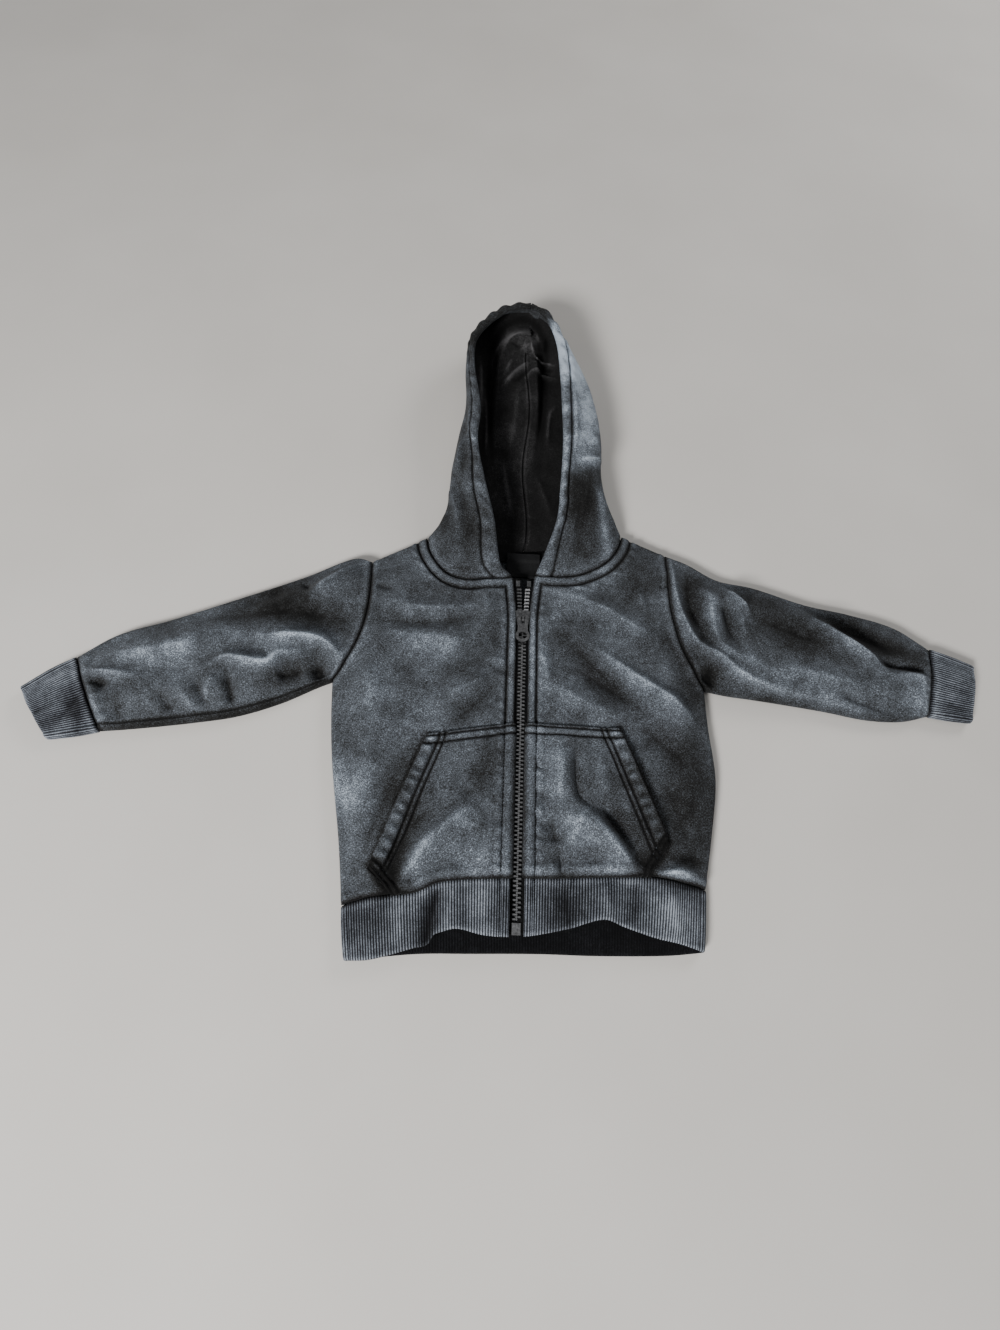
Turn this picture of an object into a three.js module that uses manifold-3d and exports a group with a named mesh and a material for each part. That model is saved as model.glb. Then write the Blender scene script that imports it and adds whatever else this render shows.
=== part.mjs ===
// A toddler's zip hoodie, laid out face up on a flat surface, in millimetres.
// +X is the wearer's left, +Y runs from hem to hood and +Z is up from the surface.
// The origin lies on the surface, under the zip and level with the underarms.
import * as THREE from "three";
import { mergeVertices } from "three/addons/utils/BufferGeometryUtils.js";
import Module from "manifold-3d";

// Cloth and seams
const FLEECE = 2.0;
const RIBBING = 2.6;
const JERSEY = 1.0;
const SEAM_GAP = 0.3;
const HALF_GAP = SEAM_GAP / 2;
const FOLD_RADIUS = 4.5;
const FLAT_TOP = 2 * FOLD_RADIUS;
const BODY_LOFT = 6.5;
const LOFT_REACH = 30;

// Rib knit
const RIB_PITCH = 2.0;
const RIB_DEPTH = 0.45;

// Zip
const ZIP_EDGE = 5.4;
const ZIP_SPREAD = { from: 58, over: 60, by: 4.6 };
const ZIP_BAND = 6.6;
const TAPE_THICK = 1.0;
const TAPE_HALF = 0.5;
const TAPE_SPREADS = [
  { from: 58, over: 10, by: 1.7 },
  { from: 70, over: 34, by: 1.0 },
];
const TAPE_EXTRA_Y = [57, 61, 65, 69, 73];
const STOP_HALF = 3.2;
const STOP_FROM_Y = -188.6;
const STOP_TO_Y = -180.4;
const STOP_CLEAR = 0.4;
const SLIDER_Z = { under: 9.8, underTop: 11, roof: 14.3, roofTop: 15.5, bridge: 18.2, bridgeTop: 19.2 };
const SLIDER_OUTLINE = [
  { x: 3.9, y: 56 },
  { x: 4.6, y: 57.2 },
  { x: 5.5, y: 63.5 },
  { x: 6.1, y: 67 },
  { x: 6.1, y: 69.8 },
  { x: 5.2, y: 71 },
];
const FLANGE = { width: 0.9, depth: 0.8 };
const POST = { half: 0.9, from: 66.4, to: 70.8 };
const BRIDGE = { half: 0.9, from: 59.5, to: 70.4, leg: 1.2 };
const TAB = { half: 4.45, waist: 4.2, top: 65.3, slot: 1.7, slotFrom: 57.5, slotTo: 63.9 };
const TAB_RING = { y: 46.4, radius: 6, hole: 3.6 };
const TAB_Z = { under: 16.1, top: 17.5 };
const TOP_STOP = { width: 3.4, long: 5.4, high: 1.8, y: 97.5 };
const TOP_STOP_Z = 13.6;
const BOX_HEIGHT = 3.2;

// Neck tape and label
const NECK_TAPE = { from: 0.13, to: 0.87, wide: 9.5, thick: 1.0, steps: 12 };
const LABEL = { half: 15, drop: 24, thick: 1.0, hang: 3 };

// Pockets: corners in plan, from the zip at the top, out, down the slant and in to the hem
const POCKETS = {
  right: [
    { x: 0, y: -30.8 },
    { x: -73.7, y: -42.7 },
    { x: -109.5, y: -145.5 },
    { x: -90.5, y: -164.5 },
    { x: -60, y: -175 },
    { x: 0, y: -175 },
  ],
  left: [
    { x: 0, y: -30.6 },
    { x: 79.2, y: -31.8 },
    { x: 113.1, y: -120.9 },
    { x: 98, y: -146 },
    { x: 60, y: -175 },
    { x: 0, y: -175 },
  ],
};

// Outlines of the two halves as they lie, seen from above
const HALVES = {
  right: {
    sign: -1,
    side: [
      { x: -127.3, y: -172 },
      { x: -134.6, y: -128 },
      { x: -147.0, y: -68 },
      { x: -152.5, y: -31 },
      { x: -155.7, y: 2 },
    ],
    armhole: [
      { x: -155.7, y: 2 },
      { x: -145.9, y: 17.4 },
      { x: -137.9, y: 37 },
      { x: -132.5, y: 63.6 },
      { x: -131.8, y: 90 },
      { x: -134.4, y: 118 },
    ],
    neckline: [
      { x: -10.0, y: 103.5 },
      { x: -29.4, y: 101.2 },
      { x: -50.2, y: 99.1 },
      { x: -66.2, y: 103.9 },
      { x: -77.4, y: 115.1 },
      { x: -84.7, y: 129.4 },
      { x: -87.8, y: 145 },
    ],
    sleeveTop: [
      { x: -134.4, y: 118 },
      { x: -148, y: 121 },
      { x: -192.5, y: 98.6 },
      { x: -246.5, y: 74.1 },
      { x: -297.3, y: 51.9 },
      { x: -338.9, y: 35.4 },
      { x: -366.2, y: 14.2 },
    ],
    sleeveUnder: [
      { x: -155.7, y: 2 },
      { x: -165.6, y: -2.5 },
      { x: -194.9, y: -18.4 },
      { x: -227.6, y: -31 },
      { x: -260.8, y: -37.9 },
      { x: -310.4, y: -45.5 },
      { x: -332.6, y: -48.1 },
    ],
    cuffEnd: { top: { x: -404.6, y: -14.2 }, under: { x: -372.5, y: -56.4 } },
    hemSide: { x: -120.9, y: -209.2 },
  },
  left: {
    sign: 1,
    side: [
      { x: 141.0, y: -152 },
      { x: 149.5, y: -111 },
      { x: 156.3, y: -68 },
      { x: 154.0, y: -25 },
      { x: 153.3, y: 8 },
    ],
    armhole: [
      { x: 153.3, y: 8 },
      { x: 145.0, y: 22 },
      { x: 135.9, y: 42.7 },
      { x: 128.6, y: 73.8 },
      { x: 127.1, y: 103.4 },
      { x: 128.2, y: 138 },
    ],
    neckline: [
      { x: 10.0, y: 106 },
      { x: 27.3, y: 105.1 },
      { x: 44.9, y: 107.1 },
      { x: 60.1, y: 113.6 },
      { x: 73.8, y: 123.1 },
      { x: 84.6, y: 138.6 },
      { x: 89.4, y: 155.8 },
    ],
    sleeveTop: [
      { x: 128.2, y: 138 },
      { x: 146, y: 131 },
      { x: 173, y: 115 },
      { x: 203.6, y: 109 },
      { x: 250.7, y: 93.5 },
      { x: 286.7, y: 86.3 },
      { x: 325.5, y: 74.6 },
      { x: 352.2, y: 55 },
    ],
    sleeveUnder: [
      { x: 153.3, y: 8 },
      { x: 172, y: 4.5 },
      { x: 195.3, y: 1.9 },
      { x: 252.1, y: -5.7 },
      { x: 289.3, y: -12 },
      { x: 318.3, y: -11.9 },
      { x: 339.4, y: -6.6 },
    ],
    cuffEnd: { top: { x: 389, y: 41 }, under: { x: 376, y: -10.5 } },
    hemSide: { x: 136.0, y: -195.6 },
  },
};

// The hem seam and the hem's front edge, across the body
const HEM_SEAM = [
  { x: -127.3, y: -172 },
  { x: -108.9, y: -166.7 },
  { x: -94.6, y: -164.5 },
  { x: -74.6, y: -160.9 },
  { x: -58.6, y: -153.8 },
  { x: -44.7, y: -151.3 },
  { x: -9.8, y: -149 },
  { x: 28.3, y: -147.6 },
  { x: 69.1, y: -145.4 },
  { x: 98.5, y: -145 },
  { x: 132.6, y: -150.3 },
  { x: 141, y: -152 },
];
const HEM_EDGE = [
  { x: -120.9, y: -209.2, z: 9 },
  { x: -102.6, y: -208, z: 9.5 },
  { x: -71.6, y: -199.3, z: 12 },
  { x: -54.5, y: -189, z: 16.5 },
  { x: -42.0, y: -185.9, z: 18.5 },
  { x: -24.5, y: -189.3, z: 16.5 },
  { x: -8.6, y: -190.1, z: 15 },
  { x: 10.5, y: -188.8, z: 15 },
  { x: 38.0, y: -183.1, z: 18 },
  { x: 62.0, y: -176.6, z: 21.5 },
  { x: 76.0, y: -180.6, z: 18.5 },
  { x: 100.5, y: -187.4, z: 14 },
  { x: 117.6, y: -190.4, z: 10.5 },
  { x: 136.0, y: -195.6, z: 9 },
];
const BACK_HEM_EDGE = [
  { x: -120.9, y: -209.2 },
  { x: -72, y: -203.2 },
  { x: -32, y: -201.7 },
  { x: 16, y: -200.3 },
  { x: 60, y: -200.2 },
  { x: 110, y: -198.4 },
  { x: 136, y: -195.6 },
];
const BACK_HEM_SEAM_Y = -160;
const BACK_NECK_DIP = 13;
const BACK_NECK_SPAN = 180;
const BACK_CORNER = 35;

// Largest folds of the fronts and sleeves: a soft ridge or trough from a to b
const FOLDS = [
  { ax: -122, ay: 62, bx: -38, by: 60, wide: 12, high: 3.0 },
  { ax: -118, ay: 40, bx: -40, by: 42, wide: 11, high: -3.0 },
  { ax: -24, ay: -2, bx: -78, by: -24, wide: 9, high: 2.5 },
  { ax: -16, ay: -96, bx: -62, by: -138, wide: 13, high: 3.6 },
  { ax: -70, ay: -112, bx: -84, by: -150, wide: 9, high: -3.4 },
  { ax: -44, ay: -150, bx: -44, by: -190, wide: 10, high: 1.6 },
  { ax: -74, ay: -158, bx: -76, by: -190, wide: 9, high: -2.4 },
  { ax: 44, ay: -96, bx: 30, by: -128, wide: 8, high: -2.6 },
  { ax: 46, ay: -92, bx: 72, by: -128, wide: 10, high: 3.6 },
  { ax: 40, ay: -44, bx: 42, by: -80, wide: 8, high: -2.2 },
  { ax: 22, ay: -132, bx: 60, by: -126, wide: 9, high: 2.6 },
  { ax: 70, ay: -150, bx: 66, by: -178, wide: 11, high: 2.2 },
  { ax: 102, ay: -136, bx: 132, by: -138, wide: 8, high: 4.2 },
  { ax: 150, ay: -28, bx: 78, by: 6, wide: 12, high: 3.6 },
  { ax: 128, ay: -44, bx: 96, by: -24, wide: 10, high: -2.4 },
  { ax: 100, ay: 112, bx: 58, by: 40, wide: 14, high: 2.2 },
  { ax: -148, ay: 36, bx: -196, by: 36, wide: 9, high: 5.0 },
  { ax: -196, ay: 36, bx: -254, by: 18, wide: 10, high: 5.0 },
  { ax: -254, ay: 18, bx: -302, by: -8, wide: 12, high: 3.4 },
  { ax: -172, ay: 14, bx: -206, by: 6, wide: 8, high: -4.2 },
  { ax: -238, ay: 6, bx: -232, by: -22, wide: 6, high: -3.0 },
  { ax: -200, ay: 74, bx: -262, by: 46, wide: 11, high: -3.0 },
  { ax: -318, ay: 12, bx: -344, by: -2, wide: 9, high: -3.2 },
  { ax: 164, ay: 100, bx: 160, by: 44, wide: 9, high: 4.6 },
  { ax: 178, ay: 98, bx: 184, by: 58, wide: 7, high: -4.0 },
  { ax: 190, ay: 98, bx: 196, by: 70, wide: 8, high: 2.6 },
  { ax: 160, ay: 34, bx: 206, by: 20, wide: 9, high: 5.0 },
  { ax: 206, ay: 20, bx: 300, by: 4, wide: 10, high: 3.8 },
  { ax: 250, ay: 80, bx: 338, by: 32, wide: 8, high: -5.6 },
  { ax: 244, ay: 66, bx: 320, by: 28, wide: 9, high: 4.2 },
];

// The hood's cross-sections from neck to crown: its face opening, its widest line and its back seam
const HOOD = {
  right: [
    { at: 0, openX: -10, openY: 103.5, openZ: 15.5, wideX: -87.8, wideY: 145, wideZ: 5, backY: 137 },
    { at: 0.1, openX: -21, openY: 112, openZ: 24, wideX: -77, wideY: 157, wideZ: 13, backY: 147 },
    { at: 0.25, openX: -28, openY: 151, openZ: 34, wideX: -69, wideY: 178, wideZ: 20, backY: 172 },
    { at: 0.4, openX: -38, openY: 191, openZ: 40, wideX: -69, wideY: 208, wideZ: 22, backY: 202 },
    { at: 0.55, openX: -46, openY: 232, openZ: 43, wideX: -65, wideY: 246, wideZ: 24, backY: 234 },
    { at: 0.68, openX: -45, openY: 270, openZ: 45, wideX: -60, wideY: 282, wideZ: 26, backY: 266 },
    { at: 0.8, openX: -53, openY: 320, openZ: 47, wideX: -62, wideY: 332, wideZ: 30, backY: 292 },
    { at: 0.87, openX: -52, openY: 350, openZ: 48, wideX: -60, wideY: 362, wideZ: 33, backY: 304 },
    { at: 0.92, openX: -40, openY: 371, openZ: 49, wideX: -47, wideY: 383, wideZ: 34, backY: 314 },
    { at: 0.96, openX: -23, openY: 388, openZ: 49, wideX: -28, wideY: 400, wideZ: 35, backY: 320 },
    { at: 1, openX: 0, openY: 397, openZ: 49, wideX: 0, wideY: 408, wideZ: 36, backY: 326 },
  ],
  left: [
    { at: 0, openX: 10, openY: 106, openZ: 15.5, wideX: 89.4, wideY: 155.8, wideZ: 5, backY: 137 },
    { at: 0.1, openX: 14, openY: 114, openZ: 22, wideX: 83, wideY: 166, wideZ: 12, backY: 147 },
    { at: 0.25, openX: 27, openY: 151, openZ: 34, wideX: 74, wideY: 187, wideZ: 18, backY: 172 },
    { at: 0.4, openX: 30, openY: 188, openZ: 40, wideX: 70, wideY: 214, wideZ: 19, backY: 202 },
    { at: 0.55, openX: 32, openY: 232, openZ: 43, wideX: 71, wideY: 246, wideZ: 20, backY: 234 },
    { at: 0.68, openX: 31, openY: 270, openZ: 45, wideX: 68, wideY: 278, wideZ: 22, backY: 266 },
    { at: 0.8, openX: 29, openY: 315, openZ: 46, wideX: 59, wideY: 316, wideZ: 24, backY: 292 },
    { at: 0.87, openX: 26, openY: 348, openZ: 47, wideX: 47, wideY: 344, wideZ: 27, backY: 304 },
    { at: 0.92, openX: 20, openY: 370, openZ: 48, wideX: 34, wideY: 369, wideZ: 30, backY: 314 },
    { at: 0.96, openX: 11, openY: 387, openZ: 49, wideX: 20, wideY: 392, wideZ: 34, backY: 320 },
    { at: 1, openX: 0, openY: 397, openZ: 49, wideX: 0, wideY: 408, wideZ: 36, backY: 326 },
  ],
};
const CASING_COLUMNS = 2;
const CASING = 4.2;

// How the cloth settles from one shape into the next
const PIT_ROW_RISE = 12;
const HEM_ROW_REACH = 0.625;
const TOP_ROW_REACH = 0.85;
const SLEEVE_TURN = 0.12;
const SLEEVE_BEND = 0.4;
const SLEEVE_FOLD_END = 0.1;
const CUFF_LOFT = 0.9;
const NECK_BLEND = 0.22;
const CRUMPLE = { high: 17, from: 0.5, over: 0.35, columns: 4 };
const CROWN_LOSS = { share: 0.22, from: 0.9, over: 0.1 };

// Stations along and across the pieces
const HEM_STEPS = 3;
const CUFF_STEPS = 3;
const ROLL = [0, Math.PI / 4, Math.PI / 2];
const SIDE_ROWS = 8;
const FRONT_COLUMNS = 8;
const ARM_LOWER_SHARES = [0.16, 0.3, 0.42];
const ARM_UPPER_SHARES = [0.52, 0.62, 0.71, 0.8, 0.89];
const NECK_SHARES = [0.22, 0.42, 0.6, 0.76, 0.88];
const BACK_NECK_SHARES = [0.36, 0.68];
const SLEEVE_SECTIONS = [0, 0.05, 0.12, 0.2, 0.29, 0.38, 0.47, 0.56, 0.65, 0.74, 0.83, 0.92, 1];
const HOOD_SECTIONS = [0, 0.06, 0.12, 0.2, 0.29, 0.38, 0.48, 0.58, 0.68, 0.77, 0.85, 0.92, 0.97, 1];
const HOOD_TURN_STEPS = 3;

const UP = new THREE.Vector3(0, 0, 1);
const DOWN = new THREE.Vector3(0, 0, -1);
const FAR = 1e3;
const clamp = THREE.MathUtils.clamp;

function smooth(t) {
  const s = clamp(t, 0, 1);
  return s * s * (3 - 2 * s);
}

function rollDepth(angle) {
  return FOLD_RADIUS * (1 - Math.cos(angle));
}

// How far round the fold a point lies, from its distance to the outline: 0 on the outline, 1 on the flat
function rolled(distance) {
  const c = clamp(1 - distance / FOLD_RADIUS, 0, 1);
  return { sine: Math.sqrt(1 - c * c), cosine: c };
}

// A smooth function through one column of a table, against another column that rises
function column(rows, at, name) {
  const xs = rows.map((row) => row[at]);
  const ys = rows.map((row) => row[name]);
  const last = xs.length - 1;
  const slopes = xs.map((_, i) => {
    const a = Math.max(i - 1, 0);
    const b = Math.min(i + 1, last);
    return (ys[b] - ys[a]) / (xs[b] - xs[a]);
  });
  return (x) => {
    const t = clamp(x, xs[0], xs[last]);
    let i = 0;
    while (i < last - 1 && t > xs[i + 1]) i += 1;
    const h = xs[i + 1] - xs[i];
    const s = (t - xs[i]) / h;
    const s2 = s * s;
    const s3 = s2 * s;
    return (
      (2 * s3 - 3 * s2 + 1) * ys[i] +
      (s3 - 2 * s2 + s) * h * slopes[i] +
      (3 * s2 - 2 * s3) * ys[i + 1] +
      (s3 - s2) * h * slopes[i + 1]
    );
  };
}

// A smooth plan curve through a table's x and y, read by its share of the length
function planCurve(rows) {
  const points = rows.map((row) => new THREE.Vector3(row.x, row.y, 0));
  const curve = new THREE.CatmullRomCurve3(points, false, "centripetal");
  curve.arcLengthDivisions = 400;
  const length = curve.getLength();
  return {
    length,
    at: (distance) => curve.getPointAt(clamp(distance / length, 0, 1)),
    tangent: (distance) => curve.getTangentAt(clamp(distance / length, 0, 1)),
  };
}

function foldHeight(x, y) {
  let sum = 0;
  for (const f of FOLDS) {
    const dx = f.bx - f.ax;
    const dy = f.by - f.ay;
    const t = clamp(((x - f.ax) * dx + (y - f.ay) * dy) / (dx * dx + dy * dy), 0, 1);
    const away = Math.hypot(x - f.ax - t * dx, y - f.ay - t * dy) / f.wide;
    sum += f.high * Math.exp(-away * away);
  }
  return sum;
}

// Points and faces to a geometry, turned so that the faces look outward
function facesGeometry(points, faces) {
  let volume = 0;
  for (const [a, b, c] of faces) {
    volume += points[a].dot(new THREE.Vector3().crossVectors(points[b], points[c]));
  }
  const index = faces.flatMap(([a, b, c]) => (volume < 0 ? [a, c, b] : [a, b, c]));
  const geometry = new THREE.BufferGeometry();
  geometry.setAttribute(
    "position",
    new THREE.Float32BufferAttribute(points.flatMap((p) => [p.x, p.y, p.z]), 3),
  );
  geometry.setIndex(index);
  return geometry;
}

// Points to a closed solid. Both grids hold rows of points. The inner one may have fewer columns: then
// the stations say where each column of either grid lies along its row.
function shellGeometry(outer, inner, ring = false, stations = null) {
  const points = [];
  const faces = [];
  const number = (grid) => grid.map((row) => row.map((p) => points.push(p) - 1));
  const close = (row) => (ring ? [...row, row[0]] : row);
  const skin = (grid, flip) => {
    for (let i = 0; i + 1 < grid.length; i += 1) {
      const a = close(grid[i]);
      const b = close(grid[i + 1]);
      for (let j = 0; j + 1 < a.length; j += 1) {
        faces.push(flip ? [a[j], b[j + 1], a[j + 1]] : [a[j], a[j + 1], b[j + 1]]);
        faces.push(flip ? [a[j], b[j], b[j + 1]] : [a[j], b[j + 1], b[j]]);
      }
    }
  };
  const even = (line) => line.map((_, i) => i / (line.length - 1));
  const bridge = (a, b, flip, sa = even(a), sb = even(b)) => {
    let i = 0;
    let j = 0;
    while (i + 1 < a.length || j + 1 < b.length) {
      const stepA = j + 1 >= b.length || (i + 1 < a.length && sa[i + 1] <= sb[j + 1]);
      const face = stepA ? [a[i], b[j], a[i + 1]] : [a[i], b[j], b[j + 1]];
      faces.push(flip ? [face[0], face[2], face[1]] : face);
      if (stepA) i += 1;
      else j += 1;
    }
  };
  const o = number(outer);
  const n = number(inner);
  skin(o, false);
  skin(n, true);
  bridge(close(o[0]), close(n[0]), false, stations?.outer, stations?.inner);
  bridge(close(o[o.length - 1]), close(n[n.length - 1]), true, stations?.outer, stations?.inner);
  if (!ring) {
    bridge(o.map((row) => row[0]), n.map((row) => row[0]), true);
    bridge(o.map((row) => row[row.length - 1]), n.map((row) => row[row.length - 1]), false);
  }
  return facesGeometry(points, faces);
}

// A grid of places, each a point and the way out of the cloth there, to a wall of one thickness
function wallGeometry(grid, thickness, ring = false) {
  const outer = grid.map((row) => row.map((place) => place.point));
  const inner = grid.map((row) =>
    row.map((place) => place.point.clone().addScaledVector(place.out, -thickness)),
  );
  return shellGeometry(outer, inner, ring);
}

const material = {
  fleece: new THREE.MeshStandardMaterial({ color: 0x4a4d55, roughness: 0.95 }),
  ribbing: new THREE.MeshStandardMaterial({ color: 0x484b54, roughness: 0.95 }),
  jersey: new THREE.MeshStandardMaterial({ color: 0x26262a, roughness: 0.9 }),
  tape: new THREE.MeshStandardMaterial({ color: 0x17171a, roughness: 0.85 }),
  metal: new THREE.MeshStandardMaterial({ color: 0x26272b, roughness: 0.35, metalness: 0.8 }),
};

const hoodie = new THREE.Group();

function add(name, geometry, look) {
  const mesh = new THREE.Mesh(geometry, look);
  mesh.name = name;
  hoodie.add(mesh);
  return mesh;
}

// Curves that several pieces share
const hemSeamY = column(HEM_SEAM, "x", "y");
const hemEdgeY = column(HEM_EDGE, "x", "y");
const hemEdgeZ = column(HEM_EDGE, "x", "z");
const backHemY = column(BACK_HEM_EDGE, "x", "y");
for (const half of Object.values(HALVES)) {
  half.sideCurve = planCurve(half.side);
  half.armCurve = planCurve(half.armhole);
  half.neckCurve = planCurve(half.neckline);
  half.topCurve = planCurve(half.sleeveTop);
  half.underCurve = planCurve(half.sleeveUnder);
  half.pit = half.armCurve.at(0);
  half.shoulder = half.armCurve.at(half.armCurve.length);
  half.neckPoint = half.neckCurve.at(half.neckCurve.length);
  half.pitOut = half.armCurve.tangent(0).negate();
  half.shoulderOut = half.armCurve.tangent(half.armCurve.length);
}

// Distances along an armhole or neckline that every piece meeting there uses
function armStations(half) {
  const length = half.armCurve.length;
  return [
    ...ROLL.map(rollDepth),
    ...ARM_LOWER_SHARES.map((share) => share * length),
    ...ARM_UPPER_SHARES.map((share) => share * length),
    ...ROLL.map((angle) => length - rollDepth(angle)).reverse(),
  ];
}

function neckStations(half) {
  const length = half.neckCurve.length;
  return [
    0,
    ...NECK_SHARES.map((share) => share * length),
    ...ROLL.map((angle) => length - rollDepth(angle)).reverse(),
  ];
}

function zipEdgeX(sign, y) {
  return sign * (ZIP_EDGE + ZIP_SPREAD.by * smooth((y - ZIP_SPREAD.from) / ZIP_SPREAD.over));
}

// Square to a tangent: off the body at an armhole, into it at the neckline
function awayFromBody(half, along) {
  return new THREE.Vector3(half.sign * along.y, -half.sign * along.x, 0);
}

// The rows of a front, hem to shoulder: outer end, inner end, and how near the underarm and shoulder are
function frontRows(half) {
  const { sign } = half;
  const arm = armStations(half);
  const neck = neckStations(half);
  const neckFirst = arm.length - neck.length;
  const corner = half.neckCurve.at(0);
  const hemY = hemSeamY(sign * ZIP_EDGE) + HALF_GAP;
  const sideLength = half.sideCurve.length;
  const pitLevel = half.pit.y + PIT_ROW_RISE;
  const rows = [];
  for (let i = 0; i < SIDE_ROWS; i += 1) {
    const share = i / SIDE_ROWS;
    const a = half.sideCurve.at(share * sideLength);
    const y = THREE.MathUtils.lerp(hemY, pitLevel, share);
    if (i === 0) a.y += HALF_GAP;
    const b = new THREE.Vector3(zipEdgeX(sign, y), y, 0);
    rows.push({ a, b, fromPit: 0, fromShoulder: FAR, hem: 1 - share });
  }
  arm.forEach((distance, i) => {
    const a = half.armCurve.at(distance);
    const along = half.armCurve.tangent(distance);
    a.addScaledVector(awayFromBody(half, along), -HALF_GAP);
    let b;
    if (i < neckFirst) {
      const y = THREE.MathUtils.lerp(pitLevel, corner.y, distance / arm[neckFirst]);
      b = new THREE.Vector3(zipEdgeX(sign, y), y, 0);
    } else {
      const place = neck[i - neckFirst];
      const way = half.neckCurve.tangent(place);
      b = half.neckCurve.at(place).addScaledVector(awayFromBody(half, way), HALF_GAP);
    }
    const fromShoulder = half.armCurve.length - distance;
    rows.push({ a, b, fromPit: distance, fromShoulder, hem: 0 });
  });
  return rows;
}

function frontPlace(half, row, distance) {
  const span = row.b.clone().sub(row.a);
  const length = span.length();
  const point = row.a.clone().addScaledVector(span, distance / length);
  if (row.hem > 0) {
    const chord = THREE.MathUtils.lerp(half.side[0].y, hemSeamY(row.b.x), distance / length);
    point.y += (hemSeamY(point.x) - chord) * smooth(1 - (1 - row.hem) / HEM_ROW_REACH);
  }
  const side = rolled(distance);
  const pit = rolled(row.fromPit);
  const shoulder = rolled(row.fromShoulder);
  const window =
    (1 - (1 - smooth(distance / LOFT_REACH)) * (1 - smooth(row.fromPit / LOFT_REACH))) *
    smooth(row.fromShoulder / LOFT_REACH);
  point.z =
    FLAT_TOP -
    FOLD_RADIUS * (1 - side.sine) * (1 - pit.sine) -
    FOLD_RADIUS * (1 - shoulder.sine) +
    window * (BODY_LOFT + foldHeight(point.x, point.y));
  point.z = Math.max(point.z, FOLD_RADIUS + HALF_GAP);
  const sideOut = row.fromPit > 0 ? half.pitOut.clone() : new THREE.Vector3(half.sign, 0, 0);
  const nearSide = side.cosine * pit.cosine;
  const out = sideOut
    .multiplyScalar(nearSide)
    .addScaledVector(half.shoulderOut, shoulder.cosine)
    .addScaledVector(UP, Math.sqrt(Math.max(0, 1 - nearSide ** 2 - shoulder.cosine ** 2)))
    .normalize();
  return { point, out };
}

function frontDistances(row) {
  const length = row.a.distanceTo(row.b);
  const flat = length - FOLD_RADIUS - ZIP_BAND;
  const step = flat / FRONT_COLUMNS;
  const rest = Array.from({ length: FRONT_COLUMNS }, (_, i) => FOLD_RADIUS + step * (i + 1));
  return [...ROLL.map(rollDepth), ...rest, length];
}

function frontGrid(half) {
  return frontRows(half).map((row) => frontDistances(row).map((d) => frontPlace(half, row, d)));
}

// The back lies on the surface; its columns end at the shoulders and round the back of the neck
function backNeck(share) {
  const p = HALVES.right.neckPoint.clone().lerp(HALVES.left.neckPoint, share);
  p.y -= BACK_NECK_DIP * Math.sin(Math.PI * share);
  return p;
}

// From a shoulder to the middle of the back neck
function backNeckShares() {
  return [
    ...ROLL.map((angle) => rollDepth(angle) / BACK_NECK_SPAN),
    ...BACK_NECK_SHARES.map((share) => share / 2),
    0.5,
  ];
}

function backColumns() {
  const { right, left } = HALVES;
  const quarter = [0.35, 0.7];
  const shoulder = (half) => [
    ...ROLL.map((angle) => ({ roll: rollDepth(angle), share: 0, half })),
    ...quarter.map((share) => ({ roll: FOLD_RADIUS, share, half })),
  ];
  const neck = backNeckShares();
  return [
    ...shoulder(right),
    ...neck.map((share) => ({ neck: share })),
    ...neck.slice(0, -1).reverse().map((share) => ({ neck: 1 - share })),
    ...shoulder(left).reverse(),
  ];
}

// Where a back column meets its top edge
function backTop(col) {
  if (col.neck !== undefined) return backNeck(col.neck);
  const reach = col.roll + col.share * (col.half.shoulder.distanceTo(col.half.neckPoint) - col.roll);
  const way = col.half.neckPoint.clone().sub(col.half.shoulder).normalize();
  return col.half.shoulder.clone().addScaledVector(way, reach);
}

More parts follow.
